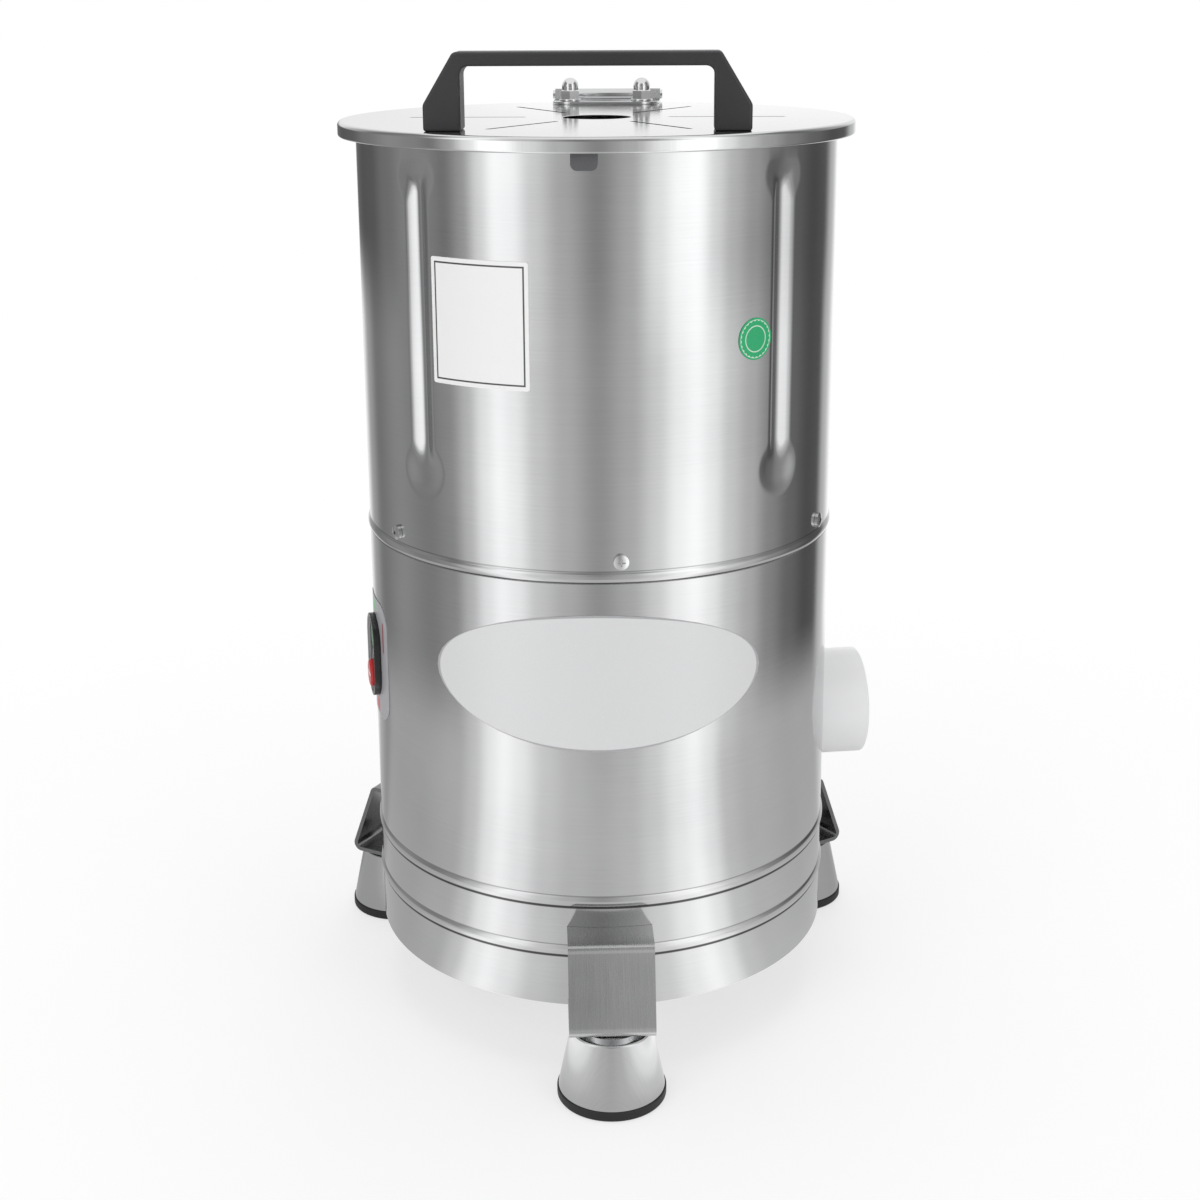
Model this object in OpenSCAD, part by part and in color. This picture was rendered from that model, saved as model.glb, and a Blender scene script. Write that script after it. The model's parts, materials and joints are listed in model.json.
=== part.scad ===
// Upright vegetable peeler: a peeling drum with an abrasive disc in its floor, a drain tray and
// a belt drive in the housing under it, a hinged lid on top and three legs with conical feet.
// Front is -Y, up is +Z and the floor is Z = 0. Angles round the drum count from the front,
// positive towards +X. Two drums, the tray and the disc share one upright axis.

/* [Drums] */
// Outer diameter of the peeling drum and of the housing below it
drum_d = 315; // [295:1:340]
// Sheet thickness of both
sheet = 1.2; // [1:0.1:1.6]
// Height of the housing, from its bottom edge to the joint
housing_h = 288.5; // [280:0.5:310]
// Height of the peeling drum above the joint
chamber_h = 268.5; // [255:0.5:320]
// Height of the housing's neck inside the peeling drum
neck_h = 21; // [19:1:24]
// Gap between sheets that slide into each other
sheet_fit = 0.3; // [0.2:0.05:0.5]
// Height of the rolled bead at the joint
bead_h = 7.3; // [5:0.1:9]
// How far the rolled beads stand proud
bead_out = 1.3; // [0.8:0.1:1.6]
// Height of the lower stiffening bead above the housing's bottom edge
low_bead_z = 35.6; // [30:0.1:40]
// Height of the upper stiffening bead above the housing's bottom edge
high_bead_z = 70.4; // [64:0.1:78]

/* [Pressed ribs] */
// Depth of the four ribs pressed into the peeling drum
rib_depth = 7; // [5:0.5:9]
// Radius at the bottom of a rib
rib_round = 2; // [1.5:0.1:3]
// Slope of a rib's sides away from straight in
rib_slope = 50; // [42:1:56]
// Height of a rib's lower end above the joint
rib_low = 45; // [40:1:70]
// Height of a rib's upper end above the joint
rib_high = 249; // [200:1:252]
// Length of the sloping lower end
rib_run_low = 30; // [20:1:40]
// Length of the sloping upper end
rib_run_high = 12; // [8:1:20]
// Depth of the dished lower end
dish_depth = 3.4; // [2:0.1:4.5]
// Radius of the dished lower end
dish_r = 45; // [30:1:60]
// Turn of the ribs away from 45 degrees
rib_turn = 3.5; // [0:0.5:8]

/* [Lid] */
// Outer diameter of the lid
lid_gap = 10; // [9:0.5:14]
// Sheet thickness of the lid
lid_t = 1.5; // [1.2:0.1:2]
// Height of the lid's rim
rim_h = 9.5; // [8:0.5:12]
// Radius of the lid's shoulder
lid_round = 3.6; // [3:0.1:5]
// Thickness of the rolled edge under the rim
hem_d = 3; // [2.4:0.2:3.6]
// Diameter of the water hole
water_d = 45; // [30:1:56]
// Number of radial slots
slot_count = 6; // [6:6:6]
// Width of a slot
slot_w = 3; // [2:0.5:4]
// Distance from the centre to a slot's inner end
slot_in = 47; // [40:1:55]
// Distance from the centre to a slot's outer end
slot_out = 123; // [100:1:124]
// Gap between the lid and the drum's edge
lid_seat = 0.3; // [0.2:0.1:0.5]

/* [Lid handle] */
// Width over the handle's feet
grip_w = 195; // [180:1:200]
// Width between the handle's legs
grip_span = 150; // [135:1:152]
// Width of the grip where its slopes end
grip_top_w = 158; // [154:1:170]
// Height of the handle
grip_h = 46; // [40:1:60]
// Height of the straight part of the legs
grip_foot_h = 15.5; // [12:0.5:20]
// Thickness of the grip bar
grip_t = 8.3; // [7:0.1:10]
// Depth of the handle from front to back
grip_d = 24; // [20:1:26]
// Distance from the drum's wall to the middle of the handle
grip_in = 44.5; // [42:0.5:52]
// Diameter of the handle's screws
grip_screw_d = 6; // [5:0.5:6]

/* [Hinge] */
// Distance from the lid's edge to the hinge pin
pin_out = 5.5; // [5.2:0.1:7]
// Diameter of the hinge pin
pin_d = 5; // [4:0.5:5]
// Running clearance round the hinge pin
pin_fit = 0.05; // [0.03:0.01:0.08]
// Thickness of the hinge sheet
leaf_t = 2; // [1.5:0.1:2.4]
// Width of the hinge
leaf_w = 78; // [74:1:90]
// Width of each outer knuckle
knuckle_w = 15; // [12:0.5:17]
// Gap between knuckles
knuckle_gap = 0.4; // [0.3:0.1:0.6]
// Reach of the lid's hinge leaf over the lid
leaf_reach = 41; // [39:1:46]
// Spacing of the two cap nuts
nut_pitch = 52; // [46:1:54]
// Distance from the leaf's front edge to the cap nuts
nut_inset = 13; // [12:0.5:15]
// Height of the hinge bracket's pad on the drum
pad_h = 34; // [28:1:44]
// Distance of the bracket's shelf below the lid
shelf_drop = 22; // [20:1:26]

/* [Legs] */
// Height of the housing's bottom edge above the floor
stand_h = 48.5; // [48:0.5:60]
// Width of a leg bracket
leg_w = 55; // [50:1:60]
// Sheet thickness of a leg bracket
leg_t = 3; // [2.5:0.1:4]
// Reach of the bracket's top shelf from the drum
leg_top_out = 24.5; // [20:0.5:28]
// Reach of the bracket's bottom plate from the drum
leg_low_out = 45.5; // [42:0.5:50]
// Height of the bracket
leg_h = 55.5; // [50:0.5:62]
// Height of the bracket's underside above the housing's bottom edge
leg_lift = 1; // [0:0.5:3]
// Turn of the legs round the drum
leg_turn = 4.6; // [0:0.1:10]
// Gap at a welded edge
weld_gap = 0.15; // [0.1:0.05:0.3]
// Distance from the drum to a foot's axis
foot_out = 21.5; // [18:0.5:23]
// Diameter of a foot cone at its top
cone_top_d = 52; // [46:1:56]
// Diameter of a foot cone at its base
cone_low_d = 69; // [62:1:76]
// Sheet thickness of a foot cone
cone_t = 1.5; // [1.2:0.1:2]
// Diameter of the rubber ring under a cone
ring_d = 70.5; // [70.5:0.5:78]
// Height of the rubber ring
ring_h = 6.5; // [5:0.5:9]
// Thickness of the rubber washer on a cone
pad_t = 2; // [1.5:0.1:3]
// Diameter of the foot bolts
foot_bolt_d = 10; // [8:1:10]

/* [Peeling disc and drive] */
// Gap round the peeling disc
disc_gap = 5; // [4:0.5:7]
// Drop of the disc's grit face below the joint's bead
disc_drop = 6; // [4:0.5:10]
// Thickness of the disc
disc_t = 5; // [4:0.5:6]
// Thickness of the grit layer
grit_t = 4; // [3:0.5:5]
// Height of the waves on the grit
wave_h = 8; // [5:0.5:9]
// Number of waves on the grit, and of sweeping blades under the disc
wave_count = 3; // [3:1:4]
// Height of the sweeping blades
blade_h = 20; // [14:1:22]
// Diameter of the drive shaft
shaft_d = 25; // [22:1:26]
// Running clearance of shafts in their bearings
shaft_fit = 0.05; // [0.03:0.01:0.08]
// Outer diameter of the spindle bearings
bearing_d = 52; // [48:1:54]
// Width of the spindle bearings
bearing_w = 15; // [12:1:16]
// Outer diameter of the spindle housing
spindle_d = 64; // [60:1:66]
// Diameter of the driven pulley
big_pulley_d = 120; // [108:1:126]
// Diameter of the motor pulley
small_pulley_d = 40; // [36:1:44]
// Width of the belt
belt_w = 16; // [12:1:18]
// Thickness of the belt
belt_t = 4; // [3.5:0.1:5]
// Distance between the two shafts
belt_pitch = 92; // [91:0.5:94]
// Diameter of the motor
motor_d = 114; // [104:1:115]
// Gap between the motor and the drain tray
motor_gap = 23; // [18:1:40]
// Direction of the motor from the drum's axis
motor_turn = 195; // [188:1:205]
// Depth of the motor plate below the joint
plate_drop = 198.5; // [196.5:1:202.5]
// Thickness of the motor plate
plate_t = 4; // [3:0.5:5]

/* [Water] */
// Sheet thickness of the drain tray
tray_t = 1.5; // [1.2:0.1:2]
// Depth of the drain tray below the joint
tray_depth = 52; // [50:1:60]
// Outer diameter of the waste outlet
outlet_d = 75; // [70:0.5:76]
// Wall thickness of the waste outlet
outlet_t = 3; // [2.5:0.1:4]
// How far the outlet stands out of the drum
outlet_out = 29.5; // [25:0.5:45]
// Depth of the outlet's axis below the joint
outlet_drop = 147.5; // [142.5:0.5:149.5]
// Direction of the outlet
outlet_turn = 100; // [95:1:104]
// Wall thickness of the drain elbow
elbow_t = 3.2; // [2.8:0.1:4]
// Bend radius of the drain elbow
elbow_r = 42; // [42:0.5:44]

/* [Switch] */
// Width of the switch panel
panel_w = 64; // [56:1:70]
// Height of the switch panel
panel_h = 83; // [76:1:96]
// Depth of the switch below the joint
switch_drop = 88; // [78.5:0.5:98.5]
// Direction of the switch
switch_turn = -73.3; // [-80:0.1:-65]
// Width of the switch's oval frame
frame_w = 35; // [32:1:38]
// Height of the switch's oval frame
frame_h = 58; // [56:1:64]
// How far the frame stands out
frame_out = 4.2; // [3.5:0.1:6]
// Diameter of the two buttons
button_d = 18.5; // [16:0.5:19]
// Distance between the two buttons
button_pitch = 27; // [25:0.5:28]
// Travel of a button
button_travel = 3; // [2:0.5:3.5]

/* [Cable inlet] */
// Diameter of the gland's thread
gland_d = 16; // [14:1:20]
// Diameter of the gland's bore
gland_bore = 9; // [6:0.5:10]
// Height of the gland above the housing's bottom edge
gland_up = 20; // [18:0.5:21]
// Direction of the gland
gland_turn = 155; // [150:1:170]

/* [Plates and labels] */
// Width of the oval plate on the housing, round its face
badge_w = 224; // [180:1:240]
// Height of the oval plate
badge_h = 90.5; // [70:0.5:100]
// Depth of the oval plate's centre below the joint
badge_drop = 65.5; // [58.5:1:78.5]
// Turn of the oval plate
badge_turn = 2.1; // [-5:0.1:5]
// Width of the white label, round the drum's face
label_w = 67.5; // [55:0.5:75]
// Height of the white label
label_h = 77.5; // [60:0.5:90]
// Height of the white label's centre above the joint
label_z = 158; // [150:1:175]
// Turn of the white label
label_turn = -24.6; // [-27:0.1:-20]
// Diameter of the round sticker
sticker_d = 26; // [20:1:28]
// Height of the round sticker above the joint
sticker_z = 145.5; // [130:0.5:170]
// Turn of the round sticker
sticker_turn = 40; // [36:0.1:40.5]
// Thickness of the plates and labels
film_t = 0.4; // [0.3:0.1:0.6]

/* [Hidden] */
$fn = 96;
eps = 0.01;
skin = 0.05;
hole_play = 0.2;

drum_r = drum_d / 2;
wall_in = drum_r - sheet;
neck_r = wall_in - sheet_fit;
neck_in = neck_r - sheet;
tray_r = neck_in - sheet_fit;
tray_in = tray_r - tray_t;

base_z = stand_h;
joint_z = base_z + housing_h;
edge_z = joint_z + chamber_h;
lid_low = edge_z + lid_seat;
lid_z = lid_low + lid_t;
lid_r = drum_r + lid_gap + lid_t;

screw_z = joint_z + neck_h * 2 / 3;
screw_d = 5;
screw_count = 6;
screw_turn = 7.5;

disc_r = tray_in - disc_gap;
wave_r = 45;
grit_z = joint_z + bead_h - disc_drop;
disc_top = grit_z - grit_t;
disc_low = disc_top - disc_t;
tray_floor = joint_z - tray_depth;
tray_low = tray_floor - tray_t;

plate_top = joint_z - plate_drop;
plate_low = plate_top - plate_t;
shaft_r = shaft_d / 2;
spindle_r = spindle_d / 2;
flange_r = spindle_r + 15;
flange_t = 8;
flange_bolt_r = spindle_r + 9.5;
seal_h = 6;
upper_bearing_z = tray_low - seal_h - 2 - bearing_w;
lower_bearing_z = plate_top + 3;

pulley_z = plate_low - 40;
pulley_w = belt_w + 6;
belt_z = pulley_z + 3;
belt_fit = 0.3;
shaft_low = pulley_z - 13;
big_r = big_pulley_d / 2;
small_r = small_pulley_d / 2;

motor_r = motor_d / 2;
motor_wall = 4;
bell_h = 11;
motor_shaft_r = 7.5;
motor_h = tray_low - motor_gap - 2 * bell_h - plate_top;
motor_top = plate_top + bell_h + motor_h;
rotor_r = motor_r * 0.62;
motor_bolt_r = motor_r - 12;
motor_bolt_d = 8;
motor_spigot_r = 20;
fin_h = 3;
stator_r = motor_r - fin_h - motor_wall;
slot_play = 5;
plate_r = wall_in - weld_gap;
box_turn = -30;
box_out = 105;
box_w = 56;
box_d = 40;
box_h = 62;
can_turn = 40;
can_out = 112;
can_r = 20;
can_h = 85;

outlet_r = outlet_d / 2;
outlet_axis_z = joint_z - outlet_drop;
pipe_fit = 0.25;
socket_r = outlet_r + pipe_fit;
elbow_out_r = socket_r + elbow_t;
elbow_end = sqrt(pow(wall_in, 2) - pow(elbow_out_r, 2)) - 1.5;
elbow_bend_end = elbow_end - 18;
elbow_x = elbow_bend_end - elbow_r;
elbow_top = tray_low - flange_t - 3.5;
pipe_in_r = outlet_r - outlet_t;

knuckle_r = pin_d / 2 + pin_fit + leaf_t;
pin_y = lid_r + pin_out;
pin_z = lid_z + knuckle_r;
leaf_front = pin_y - leaf_reach - knuckle_r;
nut_y = leaf_front + nut_inset;
shelf_z = lid_z - shelf_drop;

leg_low = base_z + leg_lift;
foot_r = drum_r + foot_out;
ring_r = ring_d / 2;
cone_top_z = leg_low - pad_t;
pad_r = foot_out - 0.6;
weld_nut_h = 6;
leg_angles = [leg_turn, leg_turn - 120, leg_turn + 120];

spigot_r = spindle_r - 4;
seat_r = bearing_d / 2 + 0.02;
flange_bolt_d = 6;
flange_turn = 55;
collar_in = shaft_r + 7.5;
hub_t = 8;
collar_top = disc_low - hub_t - 2.5;
neck_drop = 33;

gland_z = base_z + gland_up;
gland_thread_r = gland_d / 2;

pipe_start = elbow_bend_end + 2.5;
bracket_x = leaf_w / 2 - 11;
bracket_holes = [for (side = [-1, 1], z = [shelf_z - 10, shelf_z - pad_h + 7])
    [side * asin(bracket_x / drum_r), z]];
middle_w = leaf_w - 2 * knuckle_w - 2 * knuckle_gap;

cover_z = base_z + 4;
cover_r = wall_in - 0.4;
lug_z = cover_z + sheet;
lug_turn = 40;
lug_r = wall_in - 8;
cover_screw_d = 4;

cap_d = 8;
washer_t = 1.6;
grip_screw_x = (grip_w + grip_span) / 4;
grip_y = drum_r - grip_in;
tab_t = 2.4;
switch_in = drum_r - 34;
button_floor = drum_r - 14;

left_reach = foot_r * sin(120 - leg_turn) + ring_r;
right_reach = (drum_r + outlet_out) * sin(outlet_turn) + outlet_r * abs(cos(outlet_turn));
front_reach = foot_r * cos(leg_turn) + ring_r;
back_reach = pin_y + knuckle_r;
axis_x = (left_reach - right_reach) / 2;
axis_y = (front_reach - back_reach) / 2;

module at_axis() translate([axis_x, axis_y, 0]) children();

module polar(angle, out = 0, z = 0)
    at_axis() rotate([0, 0, angle]) translate([0, -out, z]) children();

module spin() at_axis() rotate_extrude() children();

module band(low, high, r_in, r_out) translate([r_in, low]) square([r_out - r_in, high - low]);

module outward(length) rotate([90, 0, 0]) linear_extrude(length) children();

module sideways(width) rotate([90, 0, -90]) linear_extrude(width, center = true) children();

function unit(v) = v / norm(v);
function before(points, i) = unit(points[(i + len(points) - 1) % len(points)] - points[i]);
function after(points, i) = unit(points[(i + 1) % len(points)] - points[i]);
function half(points, i) = acos(before(points, i) * after(points, i)) / 2;

// The outline of a convex shape up to where each corner's arc starts and ends
function trimmed(points, radii) = [for (i = [0:len(points) - 1]) each radii[i] > 0
    ? [points[i] + before(points, i) * radii[i] / tan(half(points, i)),
        points[i] + after(points, i) * radii[i] / tan(half(points, i))]
    : [points[i]]];

// The centre of a corner's arc
function centre(points, radii, i) = points[i]
    + unit(before(points, i) + after(points, i)) * radii[i] / sin(half(points, i));

// A convex outline with a radius at each corner
module rounded(points, radii) {
    polygon(trimmed(points, radii));
    for (i = [0:len(points) - 1])
        if (radii[i] > 0)
            translate(centre(points, radii, i)) circle(radii[i]);
}

// The same as a slab, joined solid by solid where the sides aren't square
module rounded_slab(points, radii, h) {
    linear_extrude(h) polygon(trimmed(points, radii));
    for (i = [0:len(points) - 1])
        if (radii[i] > 0)
            translate(centre(points, radii, i)) cylinder(h = h, r = radii[i]);
}

module rounded_box(w, h, r)
    rounded([[-w / 2, -h / 2], [w / 2, -h / 2], [w / 2, h / 2], [-w / 2, h / 2]], [r, r, r, r]);

module stadium(w, h) {
    translate([-w / 2, -(h - w) / 2]) square([w, h - w]);
    for (side = [-1, 1])
        translate([0, side * (h - w) / 2]) circle(w / 2);
}

// A wall in section, with rolled beads centred at the given heights
module rolled_wall(low, high, beads) {
    arc_r = (pow(bead_out, 2) + pow(bead_h / 2, 2)) / (2 * bead_out);
    arc_x = drum_r + bead_out - arc_r;
    difference() {
        union() {
            band(low, high, wall_in, drum_r);
            for (z = beads)
                intersection() {
                    translate([arc_x, z]) circle(arc_r);
                    band(z - bead_h / 2, z + bead_h / 2, wall_in, drum_r + bead_out);
                }
        }
        for (z = beads)
            translate([arc_x, z]) circle(arc_r - sheet);
    }
}

// A pan head screw along Z: the head stands on Z = 0 and the shank hangs down
module pan_screw(d, length) {
    head_r = d * 0.96;
    head_h = d * 0.62;
    slot = d * 0.22;
    difference() {
        union() {
            intersection() {
                cylinder(h = head_h, r = head_r);
                translate([0, 0, head_h - 2.4 * head_r]) sphere(2.4 * head_r);
            }
            translate([0, 0, -length]) cylinder(h = length, r = d / 2);
        }
        for (a = [0, 90])
            rotate([0, 0, a]) translate([-d / 2, -slot / 2, head_h / 2]) cube([d, slot, d]);
    }
}

// A hexagon nut along Z, hanging down from Z = 0
module hex_nut(d, h) translate([0, 0, -h]) cylinder(h = h, r = d * 0.92, $fn = 6);

// A hexagon head bolt along Z: the head stands on Z = 0 and the shank hangs down
module hex_bolt(d, length) {
    cylinder(h = d * 0.64, r = d * 0.92, $fn = 6);
    translate([0, 0, -length]) cylinder(h = length, r = d / 2);
}

module around(count, turn) for (i = [0:count - 1]) rotate([0, 0, turn + 360 * i / count]) children();

module switch_hole(gap) stadium(frame_w - 7 + 2 * gap, frame_h - 7 + 2 * gap);

module cover_lug() difference() {
    translate([-9, -(drum_r - sheet / 2), lug_z]) cube([18, 13, leg_t]);
    translate([0, -lug_r, lug_z - 1]) cylinder(h = leg_t + 2, r = cover_screw_d / 2 + hole_play);
}

module lower_housing() color([0.80, 0.81, 0.82]) {
    difference() {
        spin() {
            rolled_wall(base_z, joint_z,
                [base_z + low_bead_z + bead_h / 2, base_z + high_bead_z + bead_h / 2]);
            band(joint_z - sheet, joint_z, neck_in, drum_r);
            band(joint_z - sheet, joint_z + neck_h, neck_in, neck_r);
        }
        polar(outlet_turn, 0, outlet_axis_z) rotate([90, 0, 0])
            cylinder(h = drum_r + 5, r = outlet_r + 1);
        polar(switch_turn, drum_r - 12, joint_z - switch_drop) outward(20) switch_hole(0.4);
        polar(gland_turn, drum_r - 12, gland_z) rotate([90, 0, 0])
            cylinder(h = 20, r = gland_thread_r + hole_play);
        joint_holes();
    }
    at_axis() around(4, lug_turn) cover_lug();
}

module joint_holes() at_axis() around(screw_count, screw_turn)
    translate([0, -(drum_r - 12), screw_z]) rotate([90, 0, 0])
        cylinder(h = 20, r = screw_d / 2 + hole_play);

// One pressed rib and its dished end, grown inwards by the given thickness
module rib(grow) {
    top = joint_z + rib_high;
    dish_half = sqrt(pow(dish_r, 2) - pow(dish_r - dish_depth, 2));
    dish_z = joint_z + rib_low + dish_half;
    foot = dish_z - dish_half * 0.55;
    round_r = rib_round + grow;
    tip = drum_r - rib_depth + rib_round;
    far = drum_r + 6;
    half_w = (far - tip + round_r / sin(rib_slope)) * tan(rib_slope);
    side = [round_r * cos(rib_slope), tip - round_r * sin(rib_slope)];
    deep = rib_depth + grow;
    low_slope = rib_run_low / rib_depth;
    high_slope = rib_run_high / rib_depth;
    low_shift = grow * sqrt(1 + pow(low_slope, 2));
    high_shift = grow * sqrt(1 + pow(high_slope, 2));
    intersection() {
        translate([0, 0, foot - 40]) linear_extrude(top - foot + 80) {
            polygon([[side[0], -side[1]], [half_w, -far], [-half_w, -far], [-side[0], -side[1]]]);
            translate([0, -tip]) circle(round_r);
        }
        sideways(80) polygon([
            [far, foot - 6 * low_slope - low_shift],
            [drum_r - deep, foot + deep * low_slope - low_shift],
            [drum_r - deep, top - deep * high_slope + high_shift],
            [far, top + 6 * high_slope + high_shift]
        ]);
    }
    translate([0, -(drum_r - dish_depth + dish_r), dish_z]) sphere(dish_r + grow);
}

module chamber_drum() color([0.82, 0.83, 0.84]) difference() {
    union() {
        spin() rolled_wall(joint_z, edge_z, [joint_z + bead_h / 2]);
        intersection() {
            spin() band(joint_z + bead_h, edge_z, drum_r / 2, drum_r - sheet / 2);
            at_axis() around(4, 45 + rib_turn) rib(sheet);
        }
    }
    at_axis() around(4, 45 + rib_turn) rib(0);
    joint_holes();
    for (i = [0:3])
        polar(180 + bracket_holes[i][0], drum_r - 12, bracket_holes[i][1]) rotate([90, 0, 0])
            cylinder(h = 20, r = screw_d / 2 + hole_play);
}

module drum_screws() color([0.74, 0.74, 0.75]) at_axis() around(screw_count, screw_turn)
    translate([0, -(drum_r + skin), screw_z]) rotate([90, 0, 0]) {
        pan_screw(screw_d, drum_r - tray_in + 7);
        translate([0, 0, -(drum_r - tray_in + 2 * skin)]) hex_nut(screw_d, 4);
    }

module drain_tray() color([0.77, 0.78, 0.79]) difference() {
    union() {
        spin() {
            band(tray_low, tray_floor, collar_in, tray_r);
            band(tray_low, joint_z + neck_h, tray_in, tray_r);
            band(tray_low, collar_top, collar_in, collar_in + tray_t);
        }
        polar(outlet_turn, elbow_x, tray_floor - neck_drop) cylinder(h = neck_drop, r = outlet_r);
    }
    polar(outlet_turn, elbow_x, tray_floor - neck_drop - 1)
        cylinder(h = neck_drop + 20, r = pipe_in_r);
    joint_holes();
    at_axis() around(4, flange_turn) translate([0, -flange_bolt_r, tray_low - 1])
        cylinder(h = 5, r = flange_bolt_d / 2 + hole_play);
}

// A tube along Z that opens into a socket at the given height
module socket_end(height, socket_z) rotate_extrude() {
    band(0, socket_z, pipe_in_r, elbow_out_r);
    band(socket_z, height, socket_r, elbow_out_r);
}

module drain_elbow() color([0.93, 0.93, 0.92])
    polar(outlet_turn, elbow_x, outlet_axis_z + elbow_r) {
        socket_end(elbow_top - outlet_axis_z - elbow_r,
            tray_floor - neck_drop - 1 - outlet_axis_z - elbow_r);
        translate([0, -elbow_r, 0]) rotate([90, 0, 90]) rotate([0, 0, -90])
            rotate_extrude(angle = 90) translate([elbow_r, 0]) difference() {
                circle(elbow_out_r);
                circle(pipe_in_r);
            }
        translate([0, -elbow_r, -elbow_r]) rotate([90, 0, 0])
            socket_end(elbow_end - elbow_bend_end, 2);
    }

module outlet_pipe() color([0.95, 0.95, 0.94])
    polar(outlet_turn, pipe_start, outlet_axis_z) rotate([90, 0, 0]) rotate_extrude() {
        band(0, drum_r + outlet_out - pipe_start - outlet_t / 2, pipe_in_r, outlet_r);
        translate([outlet_r - outlet_t / 2, drum_r + outlet_out - pipe_start - outlet_t / 2])
            circle(outlet_t / 2);
        band(elbow_end + 0.3 - pipe_start, elbow_end + 1.2 - pipe_start, pipe_in_r, outlet_r + 1);
    }

module slot_cut(r) translate([0, 0, -1]) linear_extrude(20) stadium(2 * r, 2 * (r + slot_play));

module motor_plate() color([0.62, 0.63, 0.64]) difference() {
    spin() {
        band(plate_low, plate_top, spigot_r + 0.1, plate_r);
        band(plate_low - 14, plate_top, plate_r - plate_t, plate_r);
    }
    polar(motor_turn, belt_pitch, plate_low) slot_cut(motor_spigot_r + 0.5);
    for (a = [45:90:315])
        polar(motor_turn, belt_pitch + motor_bolt_r * cos(a), plate_low)
            translate([motor_bolt_r * sin(a), 0, 0]) slot_cut(motor_bolt_d / 2 + hole_play);
    polar(box_turn, box_out, plate_low - 1) cylinder(h = 20, r = 8);
}

module spindle_housing() color([0.45, 0.46, 0.48]) difference() {
    spin() difference() {
        union() {
            band(plate_top, tray_low, shaft_r + 2.5, spindle_r);
            band(tray_low - flange_t, tray_low, shaft_r + 2.5, flange_r);
            band(plate_low - 2, plate_top, shaft_r + 2.5, spigot_r);
        }
        band(lower_bearing_z, lower_bearing_z + bearing_w, 1, seat_r);
        band(lower_bearing_z, upper_bearing_z, 1, seat_r - 3);
        band(upper_bearing_z, tray_low + 1, 1, seat_r);
    }
    at_axis() around(4, flange_turn) translate([0, -flange_bolt_r, tray_low - flange_t - 1])
        cylinder(h = flange_t + 2, r = flange_bolt_d / 2 + 0.1);
}

module spindle_bolts() color([0.74, 0.74, 0.75]) at_axis() around(4, flange_turn)
    translate([0, -flange_bolt_r, tray_floor]) hex_bolt(flange_bolt_d, tray_t + flange_t - 1);

// A ball bearing with its two shields, standing on the given height
module bearing(low) {
    bore = shaft_r + shaft_fit;
    wall = bearing_d / 2 - bore;
    spin() difference() {
        band(low, low + bearing_w, bore, bearing_d / 2);
        for (z = [low - 1, low + bearing_w - 1])
            band(z, z + 2, bore + wall * 0.28, bore + wall * 0.72);
    }
}

module upper_bearing() color([0.55, 0.56, 0.58]) bearing(upper_bearing_z);

module lower_bearing() color([0.55, 0.56, 0.58]) bearing(lower_bearing_z);

module shaft_seal() color([0.12, 0.12, 0.12]) spin() difference() {
    band(tray_low - seal_h, tray_low, shaft_r + shaft_fit, bearing_d / 2);
    band(tray_low - seal_h - 1, tray_low - 2.5, shaft_r + 3, bearing_d / 2 - 3);
}

module at_motor(z = 0) polar(motor_turn, belt_pitch, z) children();

module motor_shell() color([0.35, 0.37, 0.40]) at_motor(plate_top + bell_h) {
    difference() {
        cylinder(h = motor_h, r = motor_r - fin_h);
        translate([0, 0, -1]) cylinder(h = motor_h + 2, r = stator_r);
    }
    around(24, 7.5) translate([-1.2, -motor_r, 6]) cube([2.4, fin_h + 1, motor_h - 12]);
}

module motor_stator() color([0.62, 0.36, 0.18]) at_motor(plate_top + bell_h) rotate_extrude() {
    band(22, motor_h - 22, rotor_r + 0.6, stator_r);
    for (z = [10, motor_h - 22])
        band(z, z + 12, rotor_r + 2, stator_r - 4);
}

module motor_lower_bell() color([0.40, 0.42, 0.45]) difference() {
    at_motor(plate_top) rotate_extrude() difference() {
        union() {
            band(0, bell_h, motor_shaft_r + shaft_fit, motor_r);
            band(bell_h - 1, bell_h + 3, stator_r - 4, stator_r - 0.1);
            band(-plate_t, 1, motor_shaft_r + shaft_fit, motor_spigot_r);
        }
        band(6, bell_h + 4, motor_spigot_r, stator_r - 4);
    }
    at_motor(plate_top - 1) around(4, 45) translate([0, -motor_bolt_r, 0])
        cylinder(h = 8, r = motor_bolt_d / 2 + 0.1);
}

module motor_upper_bell() color([0.40, 0.42, 0.45]) at_motor(motor_top) rotate_extrude()
    difference() {
        union() {
            rounded([[0, 0], [motor_r, 0], [motor_r, bell_h], [0, bell_h]], [0, 0, 4, 0]);
            band(-3, 1, stator_r - 4, stator_r - 0.1);
        }
        band(-4, bell_h - 4, -1, motor_shaft_r + shaft_fit);
        band(-4, bell_h - 6, motor_spigot_r, stator_r - 4);
    }

module motor_bolts() color([0.74, 0.74, 0.75]) at_motor(plate_low) around(4, 45)
    translate([0, -motor_bolt_r, 0]) {
        translate([0, 0, -1.6]) difference() {
            cylinder(h = 1.6, r = motor_bolt_d + 1.5);
            translate([0, 0, -1]) cylinder(h = 4, r = motor_bolt_d / 2 + 0.1);
        }
        translate([0, 0, -1.6]) rotate([180, 0, 0]) hex_bolt(motor_bolt_d, plate_t + 1.6 + 6);
    }

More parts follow.
